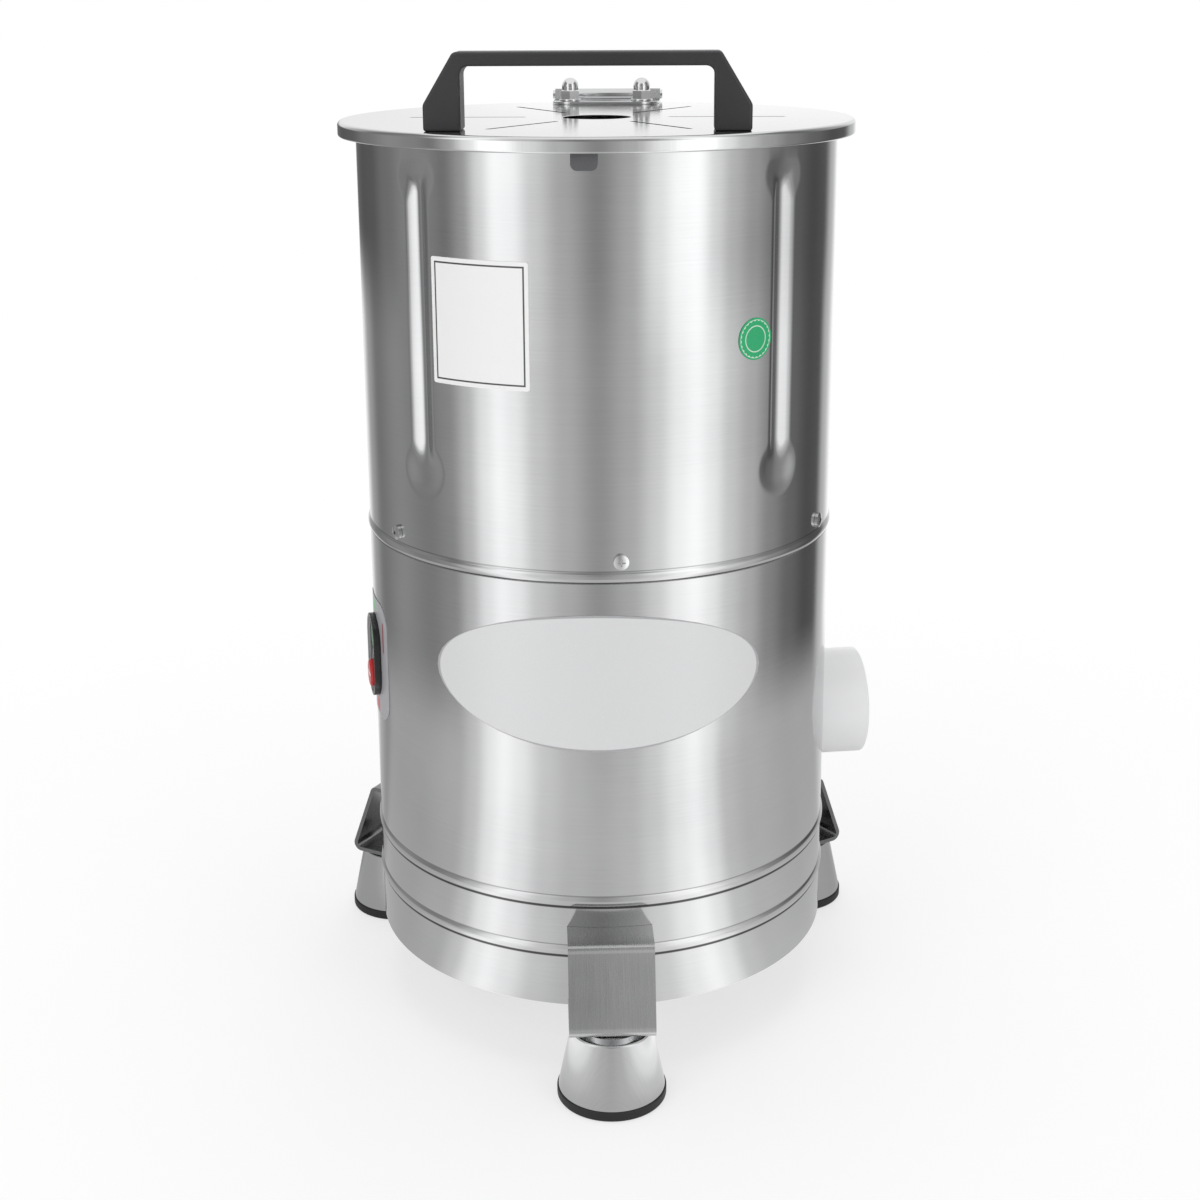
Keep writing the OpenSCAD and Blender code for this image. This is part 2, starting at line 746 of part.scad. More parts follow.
module terminal_box() color([0.22, 0.23, 0.24]) polar(box_turn, box_out, plate_top) {
    difference() {
        linear_extrude(box_h) rounded_box(box_w, box_d, 5);
        translate([0, 0, -1]) linear_extrude(box_h - 1) rounded_box(box_w - 5, box_d - 5, 3);
        translate([0, 0, 18]) rotate([90, 0, 0]) cylinder(h = box_d, r = 6);
    }
    for (side = [-1, 1])
        translate([side * (box_w / 2 - 8), 0, box_h]) cylinder(h = 2, r = 3.5);
}

module capacitor() color([0.83, 0.83, 0.80]) polar(can_turn, can_out, plate_top) {
    rotate_extrude() rounded([[0, 0], [can_r, 0], [can_r, can_h], [0, can_h]], [0, 0, 3, 0]);
    for (side = [-1, 1])
        translate([side * 6 - 1.5, -0.5, can_h - 1]) cube([3, 1, 10]);
}

// A slab round both pulleys, at the given radii from their shafts
module belt_slab(big, small, h) {
    lean = (big - small) / belt_pitch;
    side = sqrt(1 - lean * lean);
    linear_extrude(h)
        polygon([for (p = [[big, 0, 1], [small, belt_pitch, 1], [small, belt_pitch, -1], [big, 0, -1]])
            [p[2] * p[0] * side, -p[1] - p[0] * lean]]);
    cylinder(h = h, r = big);
    translate([0, -belt_pitch, 0]) cylinder(h = h, r = small);
}

module drive_belt() color([0.10, 0.10, 0.10]) polar(motor_turn, 0, belt_z) difference() {
    belt_slab(big_r + belt_fit + belt_t, small_r + belt_fit + belt_t, belt_w);
    translate([0, 0, -1]) belt_slab(big_r + belt_fit, small_r + belt_fit, belt_w + 2);
}

module bottom_cover() color([0.78, 0.79, 0.80]) difference() {
    at_axis() translate([0, 0, cover_z]) cylinder(h = sheet, r = cover_r);
    at_axis() around(12, 15) translate([0, -90, cover_z - 1]) linear_extrude(6) stadium(6, 50);
    at_axis() around(4, lug_turn) translate([0, -lug_r, cover_z - 1])
        cylinder(h = 6, r = cover_screw_d / 2 + hole_play);
}

module cover_screws() color([0.74, 0.74, 0.75]) at_axis() around(4, lug_turn)
    translate([0, -lug_r, cover_z]) rotate([180, 0, 0])
        pan_screw(cover_screw_d, sheet + leg_t + 1);

// A bracket folded from one strip: shelf, sloping face and sole, open at both sides
module leg(angle) {
    top = leg_low + leg_h;
    run = leg_low_out - leg_top_out;
    shift = leg_t * sqrt(1 + pow(run / leg_h, 2));
    start = drum_r - 20;
    inner_top = drum_r + leg_top_out + leg_t * run / leg_h - shift;
    inner_low = drum_r + leg_low_out - leg_t * run / leg_h - shift;
    difference() {
        polar(angle) sideways(leg_w) difference() {
            rounded([[start, top], [drum_r + leg_top_out, top], [drum_r + leg_low_out, leg_low],
                [start, leg_low]], [0, 5, 6, 0]);
            rounded([[start - 1, top - leg_t], [inner_top, top - leg_t],
                [inner_low, leg_low + leg_t], [start - 1, leg_low + leg_t]],
                [0, 5 - leg_t + eps, 6 - leg_t, 0]);
        }
        at_axis() cylinder(h = top + 5, r = drum_r + weld_gap);
        polar(angle, foot_r, leg_low - 1) cylinder(h = 10, r = foot_bolt_d / 2 + hole_play);
    }
    polar(angle, foot_r, leg_low + leg_t) difference() {
        cylinder(h = weld_nut_h, r = foot_bolt_d);
        translate([0, 0, -1]) cylinder(h = weld_nut_h - 1, r = foot_bolt_d / 2 + hole_play);
    }
}

module leg_front() color([0.75, 0.76, 0.77]) leg(leg_angles[0]);

module leg_left() color([0.75, 0.76, 0.77]) leg(leg_angles[1]);

module leg_right() color([0.75, 0.76, 0.77]) leg(leg_angles[2]);

module cone(angle) polar(angle, foot_r) rotate_extrude() {
    top_r = cone_top_d / 2;
    low_r = cone_low_d / 2;
    slope = (low_r - top_r) / (cone_top_z - ring_h);
    wall = cone_t * sqrt(1 + slope * slope);
    hole = foot_bolt_d / 2 + hole_play;
    polygon([[hole, cone_top_z], [top_r, cone_top_z], [low_r, ring_h], [low_r - wall, ring_h],
        [top_r - wall + slope * cone_t, cone_top_z - cone_t], [hole, cone_top_z - cone_t]]);
}

module cone_front() color([0.80, 0.80, 0.81]) cone(leg_angles[0]);

module cone_left() color([0.80, 0.80, 0.81]) cone(leg_angles[1]);

module cone_right() color([0.80, 0.80, 0.81]) cone(leg_angles[2]);

module foot_ring(angle) polar(angle, foot_r) rotate_extrude() {
    inner = ring_r - 8;
    band(0, ring_h, inner, ring_r);
    band(ring_h - 1, ring_h + 3, inner, cone_low_d / 2 - 2 * cone_t - 0.8);
}

module ring_front() color([0.12, 0.12, 0.12]) foot_ring(leg_angles[0]);

module ring_left() color([0.12, 0.12, 0.12]) foot_ring(leg_angles[1]);

module ring_right() color([0.12, 0.12, 0.12]) foot_ring(leg_angles[2]);

module foot_washers() color([0.14, 0.14, 0.14]) for (angle = leg_angles)
    polar(angle, foot_r) rotate_extrude()
        band(cone_top_z, leg_low, foot_bolt_d / 2 + hole_play, pad_r);

module foot_bolts() color([0.74, 0.74, 0.75]) for (angle = leg_angles)
    polar(angle, foot_r, cone_top_z - cone_t) rotate([180, 0, 0])
        hex_bolt(foot_bolt_d, cone_t + pad_t + leg_t + weld_nut_h - 2.5);

module cable_gland() color([0.13, 0.13, 0.14])
    polar(gland_turn, drum_r + skin, gland_z) rotate([90, 0, 0]) difference() {
        union() {
            cylinder(h = 6, r = gland_d * 0.72, $fn = 6);
            rotate_extrude() rounded([[0, 5], [gland_d * 0.56, 5], [gland_d * 0.56, 17], [0, 17]],
                [0, 0, 4, 0]);
            translate([0, 0, -14]) cylinder(h = 15, r = gland_thread_r);
            translate([0, 0, -sheet - 6]) cylinder(h = 5, r = gland_d * 0.72, $fn = 6);
        }
        translate([0, 0, -15]) cylinder(h = 40, r = gland_bore / 2);
    }

// A film that lies on the drum, cut to the outline that faces outwards
module film(angle, z) intersection() {
    spin() band(z - 60, z + 60, drum_r + skin, drum_r + skin + film_t);
    polar(angle, 0, z) outward(drum_r + 5) children();
}

module switch_panel() color([0.52, 0.53, 0.55]) film(switch_turn, joint_z - switch_drop)
    difference() {
        rounded_box(panel_w, panel_h, 16);
        stadium(frame_w + 0.4, frame_h + 0.4);
    }

module at_switch(up = 0) polar(switch_turn, 0, joint_z - switch_drop + up) children();

module switch_body() color([0.09, 0.09, 0.10]) difference() {
    union() {
        difference() {
            at_switch() translate([0, -(drum_r - 5), 0]) outward(5 + frame_out)
                stadium(frame_w, frame_h);
            at_axis() cylinder(h = joint_z, r = drum_r + skin);
        }
        at_switch() translate([0, -switch_in, 0]) outward(drum_r + 1 - switch_in) switch_hole(0);
    }
    at_switch() translate([0, -(drum_r + frame_out - 1.6), 0]) outward(5)
        stadium(frame_w - 5, frame_h - 5);
    for (side = [-1, 1])
        at_switch(side * button_pitch / 2) translate([0, -button_floor, 0]) rotate([90, 0, 0])
            cylinder(h = 60, r = button_d / 2 + 0.3);
}

// A round push button whose face stands at the given distance from the drum's axis
module push_button(side, face) at_switch(side * button_pitch / 2)
    translate([0, -(button_floor + button_travel + 0.3), 0]) rotate([90, 0, 0]) rotate_extrude()
        rounded([[0, 0], [button_d / 2, 0], [button_d / 2, face - button_floor - button_travel],
            [0, face - button_floor - button_travel]], [0, 0, 1.5, 0]);

module start_button() color([0.10, 0.55, 0.25]) push_button(1, drum_r + 2.4);

module stop_button() color([0.80, 0.12, 0.10]) push_button(-1, drum_r + 5.6);

module oval(w, h)
    polygon([for (i = [0:47]) [w / 2 * cos(7.5 * i), h / 2 * sin(7.5 * i)]]);

function chord(arc) = 2 * drum_r * sin(arc / drum_r * 90 / PI);

module badge_plate() color([0.72, 0.74, 0.76]) film(badge_turn, joint_z - badge_drop)
    oval(chord(badge_w), badge_h);

module info_label() color([0.96, 0.96, 0.96]) film(label_turn, joint_z + label_z)
    rounded_box(chord(label_w), label_h, 1.5);

module round_sticker() color([0.20, 0.60, 0.35]) film(sticker_turn, joint_z + sticker_z)
    circle(sticker_d / 2);

module across(x, r, length) translate([x, pin_y, pin_z]) rotate([0, 90, 0])
    cylinder(h = length, r = r);

module hinge_bracket() color([0.76, 0.77, 0.78]) difference() {
    union() {
        intersection() {
            spin() band(shelf_z - pad_h, shelf_z, drum_r + skin, drum_r + skin + leaf_t);
            at_axis() translate([-leaf_w / 2, 0, 0]) cube([leaf_w, 2 * drum_r, edge_z]);
        }
        at_axis() difference() {
            translate([-leaf_w / 2, drum_r / 2, shelf_z - leaf_t])
                cube([leaf_w, pin_y + knuckle_r - drum_r / 2, leaf_t]);
            cylinder(h = edge_z, r = drum_r + skin);
        }
        at_axis() translate([-leaf_w / 2, pin_y + knuckle_r - leaf_t, shelf_z - leaf_t])
            cube([leaf_w, leaf_t, pin_z - shelf_z + leaf_t]);
        at_axis() for (side = [0, 1])
            across(-leaf_w / 2 + side * (leaf_w - knuckle_w), knuckle_r, knuckle_w);
    }
    at_axis() translate([-middle_w / 2 - knuckle_gap, pin_y - 10, pin_z - knuckle_r - 1.5])
        cube([middle_w + 2 * knuckle_gap, 20, 20]);
    at_axis() across(-leaf_w, pin_d / 2 + pin_fit, 2 * leaf_w);
    for (hole = bracket_holes)
        polar(180 + hole[0], drum_r - 5, hole[1]) rotate([90, 0, 0])
            cylinder(h = 12, r = screw_d / 2 + hole_play);
}

module bracket_screws() color([0.74, 0.74, 0.75]) for (hole = bracket_holes)
    polar(180 + hole[0], drum_r + leaf_t + 2 * skin, hole[1]) rotate([90, 0, 0]) {
        pan_screw(screw_d, leaf_t + sheet + 6);
        translate([0, 0, -(leaf_t + sheet + 4 * skin)]) hex_nut(screw_d, 4);
    }

module hinge_pin() color([0.70, 0.71, 0.72]) at_axis() {
    across(-leaf_w / 2 - 0.5, pin_d / 2, leaf_w + 1);
    for (x = [-leaf_w / 2 - 1.7, leaf_w / 2 + 0.2])
        across(x, pin_d / 2 + 1, 1.5);
}

module lid_disc() color([0.84, 0.85, 0.86]) difference() {
    spin() {
        band(lid_low, lid_z, water_d / 2, lid_r - lid_round);
        intersection() {
            translate([lid_r - lid_round, lid_z - lid_round]) difference() {
                circle(lid_round);
                circle(lid_round - lid_t);
            }
            band(lid_z - lid_round, lid_z, lid_r - lid_round, lid_r);
        }
        band(lid_z - rim_h + hem_d / 2, lid_z - lid_round, lid_r - lid_t, lid_r);
        translate([lid_r - hem_d / 2, lid_z - rim_h + hem_d / 2]) circle(hem_d / 2);
    }
    at_axis() around(slot_count, 30) translate([0, -(slot_in + slot_out) / 2, lid_low - 1])
        linear_extrude(10) stadium(slot_w, slot_out - slot_in);
    for (side = [-1, 1]) {
        at_axis() translate([side * nut_pitch / 2, nut_y, lid_low - 1])
            cylinder(h = 10, r = cap_d / 2 + hole_play);
        at_axis() translate([side * grip_screw_x, -grip_y, lid_low - 1])
            cylinder(h = 10, r = grip_screw_d / 2 + hole_play);
    }
}

module lid_handle() color([0.07, 0.07, 0.08]) at_axis() translate([0, -grip_y, lid_z])
    difference() {
        intersection() {
            translate([0, grip_d, 0]) rotate([90, 0, 0])
                rounded_slab([[-grip_w / 2, 0], [-grip_w / 2, grip_foot_h],
                    [-grip_top_w / 2, grip_h], [grip_top_w / 2, grip_h],
                    [grip_w / 2, grip_foot_h], [grip_w / 2, 0]], [0, 5, 3, 3, 5, 0], 2 * grip_d);
            translate([-grip_w, 0, 0]) rotate([90, 0, 90])
                rounded_slab([[-grip_d / 2, 0], [-grip_d / 2, grip_h], [grip_d / 2, grip_h],
                    [grip_d / 2, 0]], [0, 3, 3, 0], 2 * grip_w);
        }
        translate([0, grip_d, 0]) rotate([90, 0, 0])
            rounded_slab([[-grip_span / 2, -1], [-grip_span / 2, grip_h - grip_t],
                [grip_span / 2, grip_h - grip_t], [grip_span / 2, -1]], [0, 5, 5, 0], 2 * grip_d);
        for (side = [-1, 1])
            translate([side * grip_screw_x, 0, -1]) cylinder(h = 13, r = grip_screw_d / 2 + 0.1);
    }

module handle_screws() color([0.74, 0.74, 0.75]) for (side = [-1, 1])
    at_axis() translate([side * grip_screw_x, -grip_y, lid_low]) rotate([180, 0, 0])
        pan_screw(grip_screw_d, lid_t + 11);

module lid_tab() color([0.16, 0.17, 0.18]) polar(0) {
    translate([0, -(drum_r + 1.6), 0]) outward(tab_t)
        rounded([[-8, lid_low - 18.3], [8, lid_low - 18.3], [8, lid_low], [-8, lid_low]],
            [4, 4, 0, 0]);
    translate([-8, -(lid_r - lid_round - 0.4), lid_low - tab_t])
        cube([16, lid_r - lid_round - drum_r - 2, tab_t]);
}

module hinge_leaf() color([0.76, 0.77, 0.78]) at_axis() difference() {
    union() {
        translate([0, 0, lid_z]) linear_extrude(leaf_t) {
            leaf_back = pin_y - knuckle_r - 0.7;
            rounded([[-leaf_w / 2, leaf_front], [leaf_w / 2, leaf_front],
                [leaf_w / 2, leaf_back], [-leaf_w / 2, leaf_back]], [15, 15, 4, 4]);
            translate([-middle_w / 2, leaf_front + 20]) square([middle_w, pin_y - leaf_front - 20]);
        }
        across(-middle_w / 2, knuckle_r, middle_w);
    }
    across(-middle_w, pin_d / 2 + pin_fit, 2 * middle_w);
    for (side = [-1, 1])
        translate([side * nut_pitch / 2, nut_y, lid_z - 1])
            cylinder(h = 10, r = cap_d / 2 + hole_play);
}

module leaf_bolts() color([0.74, 0.74, 0.75]) at_axis() for (side = [-1, 1])
    translate([side * nut_pitch / 2, nut_y, lid_low]) rotate([180, 0, 0])
        pan_screw(cap_d, lid_t + leaf_t + washer_t + cap_d);

// A domed cap nut on its washer
module cap_nuts() color([0.78, 0.78, 0.79]) at_axis() for (side = [-1, 1])
    translate([side * nut_pitch / 2, nut_y, lid_z + leaf_t]) difference() {
        union() {
            cylinder(h = washer_t, r = cap_d);
            translate([0, 0, washer_t]) cylinder(h = cap_d * 0.8, r = cap_d * 0.92, $fn = 6);
            translate([0, 0, washer_t]) cylinder(h = cap_d * 1.1, r = cap_d * 0.77);
            translate([0, 0, washer_t + cap_d * 1.1]) sphere(cap_d * 0.77);
        }
        translate([0, 0, -1]) cylinder(h = washer_t + cap_d + 1.5, r = cap_d / 2 + 0.1);
    }

module drive_shaft() color([0.66, 0.67, 0.68]) spin() {
    band(pulley_z - 2, disc_low, 0, shaft_r);
    band(shaft_low, disc_top + 12, 0, shaft_r - 3);
}

module disc_hub() color([0.50, 0.51, 0.53]) spin() {
    band(disc_low - hub_t, disc_low, shaft_r + 0.02, collar_in + 16);
    band(collar_top - 22, disc_low, shaft_r + 0.02, collar_in - 1.5);
    band(collar_top - 18, disc_low, collar_in + 12, collar_in + 16);
}

module peeling_disc() color([0.70, 0.71, 0.72]) {
    spin() {
        band(disc_low, disc_top, shaft_r - 2.9, disc_r);
        band(disc_low - 6, disc_low, disc_r - 4, disc_r);
    }
    at_axis() around(wave_count, 15)
        translate([-2, -(disc_r - 10), disc_low - blade_h])
            cube([4, disc_r - 75, blade_h + disc_t / 2]);
}

module abrasive_pad() color([0.20, 0.20, 0.21]) intersection() {
    at_axis() translate([0, 0, disc_top]) difference() {
        cylinder(h = grit_t + wave_h + 1, r = disc_r - 1);
        translate([0, 0, -1]) cylinder(h = 50, r = 24);
    }
    union() {
        at_axis() translate([0, 0, disc_top]) cylinder(h = grit_t, r = disc_r);
        at_axis() around(wave_count, 0)
            translate([0, -disc_r - 1, grit_z + wave_h - wave_r]) rotate([-90, 0, 0])
                rotate([2, 0, 0]) cylinder(h = disc_r - 34, r = wave_r);
    }
}

module disc_nut() color([0.76, 0.77, 0.78]) spin() difference() {
    union() {
        band(disc_top, disc_top + 3, 0, 21);
        rounded([[0, disc_top], [16, disc_top], [16, disc_top + 18], [0, disc_top + 18]],
            [0, 0, 6, 0]);
    }
    band(disc_top - 1, disc_top + 12.5, -1, shaft_r - 2.9);
}

module driven_pulley() color([0.55, 0.56, 0.58]) spin() {
    band(pulley_z, pulley_z + pulley_w, big_r - 7, big_r);
    band(pulley_z + 7, pulley_z + pulley_w - 7, shaft_r + 6, big_r - 6);
    band(pulley_z, pulley_z + pulley_w, shaft_r + 0.02, shaft_r + 10);
}

module motor_rotor() color([0.60, 0.60, 0.62]) at_motor() rotate_extrude() {
    band(pulley_z - 3, motor_top + bell_h - 6, 0, motor_shaft_r);
    band(plate_top + bell_h + 20, motor_top - 20, motor_shaft_r - 1, rotor_r);
}

module motor_pulley() color([0.55, 0.56, 0.58]) at_motor(pulley_z) rotate_extrude() {
    band(0, pulley_w, motor_shaft_r + 0.02, small_r);
    for (z = [0, pulley_w - 2.5])
        band(z, z + 2.5, motor_shaft_r + 1, small_r + belt_fit + belt_t + 1);
}

lower_housing();
chamber_drum();
drum_screws();
drain_tray();
drain_elbow();
outlet_pipe();
motor_plate();
spindle_housing();
spindle_bolts();
upper_bearing();
lower_bearing();
shaft_seal();
motor_shell();
motor_stator();
motor_lower_bell();
motor_upper_bell();
motor_bolts();
terminal_box();
capacitor();
drive_belt();
bottom_cover();
cover_screws();
leg_front();
leg_left();
leg_right();
cone_front();
cone_left();
cone_right();
ring_front();
ring_left();
ring_right();
foot_washers();
foot_bolts();
cable_gland();
switch_panel();
switch_body();
start_button();
stop_button();
badge_plate();
info_label();
round_sticker();
hinge_bracket();
bracket_screws();
hinge_pin();
lid_disc();
lid_handle();
handle_screws();
lid_tab();
hinge_leaf();
leaf_bolts();
cap_nuts();
drive_shaft();
disc_hub();
peeling_disc();
abrasive_pad();
disc_nut();
driven_pulley();
motor_rotor();
motor_pulley();
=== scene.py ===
import json
import math
from functools import cached_property

import bmesh
import bpy
from mathutils import Matrix, Vector


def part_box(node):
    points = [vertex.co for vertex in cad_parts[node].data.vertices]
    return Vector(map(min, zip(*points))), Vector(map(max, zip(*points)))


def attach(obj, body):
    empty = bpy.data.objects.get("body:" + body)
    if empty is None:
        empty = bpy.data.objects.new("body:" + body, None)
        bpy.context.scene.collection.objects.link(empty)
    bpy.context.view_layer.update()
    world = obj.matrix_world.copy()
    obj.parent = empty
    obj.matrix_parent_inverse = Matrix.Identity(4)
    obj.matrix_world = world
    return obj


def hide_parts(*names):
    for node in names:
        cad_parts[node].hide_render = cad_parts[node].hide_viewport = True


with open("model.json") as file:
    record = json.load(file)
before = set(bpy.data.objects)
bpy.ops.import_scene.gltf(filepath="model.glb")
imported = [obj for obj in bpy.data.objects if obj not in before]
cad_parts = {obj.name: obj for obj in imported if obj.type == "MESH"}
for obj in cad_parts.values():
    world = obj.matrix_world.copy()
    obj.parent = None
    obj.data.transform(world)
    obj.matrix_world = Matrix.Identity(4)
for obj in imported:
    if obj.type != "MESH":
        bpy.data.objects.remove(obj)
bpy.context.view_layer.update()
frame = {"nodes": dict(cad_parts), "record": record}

nodes = frame["nodes"]
homeBody = {name: body for body, names in frame["record"]["behaviour"]["bodies"].items()
            for name in names}


# Sizes that several pieces share, in millimetres. Turns are in degrees round the drums' axis,
# from the front towards +X, and heights are above the floor.

drums = {"axis": (3.138, 17.312), "radius": 157.5, "sheet": 1.2,
         "low": 48.5, "joint": 337.0, "high": 605.5,  # edges of the housing and of the drum
         "beadHigh": 7.3, "beadOut": 1.3, "beads": (84.1, 118.9)}  # beads by their lower edges
lidSlots = {"near": 47.0, "far": 123.0, "wide": 3.0, "count": 6, "first": 30.0}
lidTop = 607.3
switchPlace = {"turn": -73.3, "height": 249.0}
outletPlace = {"turn": 100.0, "height": 189.5}
axisX, axisY = drums["axis"]


def around(turn, radius, height, centre=drums["axis"]):  # the turn in radians
    return centre[0] + radius * math.sin(turn), centre[1] - radius * math.cos(turn), height


def meshOf(name, points, faces):  # takes millimetres and gives the frame's metres
    mesh = bpy.data.meshes.new(name)
    mesh.from_pydata([tuple(v / 1000 for v in point) for point in points], [], faces)
    return mesh


def placed(name, data):
    made = bpy.data.objects.new(name, data)
    bpy.context.scene.collection.objects.link(made)
    return made


def lattice(across, along, closed=True):  # faces between rings of so many points
    return [(k * across + i, k * across + (i + 1) % across,
             (k + 1) % along * across + (i + 1) % across, (k + 1) % along * across + i)
            for k in range(along if closed else along - 1) for i in range(across)]


# Node trees, of shader nodes for the looks and of geometry nodes for screws and grains

class Signal:  # what a node gives, with sums written as sums
    def __init__(self, owner, socket):
        self.owner, self.socket = owner, socket

    def maths(self, operation, *values):
        return self.owner.node("ShaderNodeMath", {"operation": operation},
                               dict(enumerate(values)))

    def __add__(self, other): return self.maths("ADD", self, other)
    def __radd__(self, other): return self.maths("ADD", other, self)
    def __sub__(self, other): return self.maths("SUBTRACT", self, other)
    def __rsub__(self, other): return self.maths("SUBTRACT", other, self)
    def __mul__(self, other): return self.maths("MULTIPLY", self, other)
    def __truediv__(self, other): return self.maths("DIVIDE", self, other)
    def __abs__(self): return self.maths("ABSOLUTE", self)
    def __pow__(self, power): return self.maths("POWER", self, power)
    def most(self, other): return self.maths("MAXIMUM", self, other)
    def sine(self): return self.maths("SINE", self)
    def turnFrom(self, other): return self.maths("ARCTAN2", self, other)
    def wrap(self, half): return self.maths("WRAP", self, half, -half)

    def ramp(self, low, high, toLow=0.0, toHigh=1.0):
        return self.owner.node("ShaderNodeMapRange", {"interpolation_type": "SMOOTHSTEP"},
                               {0: self, 1: low, 2: high, 3: toLow, 4: toHigh})


class Nodes:
    def node(self, kind, settings=(), sockets=(), take=0):
        made = self.tree.nodes.new(kind)
        for key, value in dict(settings).items():
            if key == "stops":  # the tones of a soft colour ramp
                made.color_ramp.interpolation = "EASE"
                while len(made.color_ramp.elements) < len(value):
                    made.color_ramp.elements.new(1.0)
                for stop, (place, colour) in zip(made.color_ramp.elements, value):
                    stop.position, stop.color = place, tint(colour)
            else:
                setattr(made, key, value)
        for key, value in dict(sockets).items():
            for one in value if isinstance(value, list) else [value]:
                if isinstance(one, Signal):
                    self.tree.links.new(one.socket, made.inputs[key])
                else:
                    made.inputs[key].default_value = one
        return Signal(self, made.outputs[take]) if made.outputs else made

    def vector(self, x, y, z):
        return self.node("ShaderNodeCombineXYZ", {}, {0: x, 1: y, 2: z})

    def parts(self, vector):
        made = self.node("ShaderNodeSeparateXYZ", {}, {0: vector}).socket.node
        return [Signal(self, socket) for socket in made.outputs]


class Finish(Nodes):
    def __init__(self, name, world=False):
        made = bpy.data.worlds if world else bpy.data.materials
        self.material = made.new(name)
        self.material.use_nodes = True
        self.tree = self.material.node_tree
        self.tree.nodes.clear()

    @cached_property
    def place(self):  # Object coordinates, which are the frame's metres
        return self.node("ShaderNodeTexCoord", take=3)

    @cached_property
    def axes(self):
        return self.parts(self.place)

    @cached_property
    def round(self):  # turn round the drum in radians from the front, radius and height
        x, y, z = self.axes
        east, south = x - axisX / 1000, axisY / 1000 - y
        return east.turnFrom(south), (east * east + south * south) ** 0.5, z

    def noise(self, vector, scale, detail=3.0, rough=0.5):
        return self.node("ShaderNodeTexNoise", {"noise_dimensions": "3D"},
                         {"Vector": vector, "Scale": scale, "Detail": detail, "Roughness": rough})

    def blend(self, share, first, second):
        return self.node("ShaderNodeMix", {"data_type": "RGBA"},
                         {0: share, 6: paint(first), 7: paint(second)}, 2)

    def bump(self, height, strength, distance):
        return self.node("ShaderNodeBump", {},
                         {"Strength": strength, "Distance": distance, "Height": height})

    def rays(self, *kinds):  # 1 for rays of these kinds and 0 for all others
        ways = self.node("ShaderNodeLightPath").socket.node
        first, *others = [Signal(self, ways.outputs["Is " + kind + " Ray"]) for kind in kinds]
        for other in others:
            first = first.most(other)
        return first

    def glow(self, colour, strength):
        return self.node("ShaderNodeEmission", {}, {"Color": paint(colour), "Strength": strength})

    def clear(self):
        return self.node("ShaderNodeBsdfTransparent", {}, {"Color": tint(1.0)})

    def mix(self, share, first, second):
        return self.node("ShaderNodeMixShader", {}, {0: share, 1: first, 2: second})

    def surface(self, **sockets):
        named = {key.replace("_", " "): paint(value) if key == "Base_Color" else value
                 for key, value in sockets.items()}
        return self.done(self.node("ShaderNodeBsdfPrincipled", {}, named))

    def done(self, shader, kind="Material"):
        self.node("ShaderNodeOutput" + kind, {}, {0: shader})
        return self.material


def tint(colour):
    colour = colour if hasattr(colour, "__len__") else (colour, colour, colour)
    return (*colour[:3], 1.0)


def paint(colour):
    return colour if isinstance(colour, Signal) else tint(colour)


# Camera

cameraPlace = {"turn": 2.7, "pitch": 14.92, "roll": -0.339,  # in degrees
               "reach": 1235.6, "height": 690.1,  # from the drums' axis and above the floor
               "lens": 55.60, "sensor": 36.0, "shift": (0.0008, -0.10), "clip": (0.05, 30.0)}


def makeCamera(look):
    data = bpy.data.cameras.new("photoCamera")
    data.lens, data.sensor_width = look["lens"], look["sensor"]
    data.shift_x, data.shift_y = look["shift"]
    data.clip_start, data.clip_end = look["clip"]
    camera = placed("photoCamera", data)
    turn, pitch, roll = (math.radians(look[key]) for key in ("turn", "pitch", "roll"))
    place = Vector(around(turn, look["reach"], look["height"])) / 1000
    camera.matrix_world = (Matrix.Translation(place) @ Matrix.Rotation(turn, 4, "Z")
                           @ Matrix.Rotation(math.pi / 2 - pitch, 4, "X")
                           @ Matrix.Rotation(roll, 4, "Z"))
    bpy.context.scene.camera = camera


makeCamera(cameraPlace)
print("camera placed")


# Studio

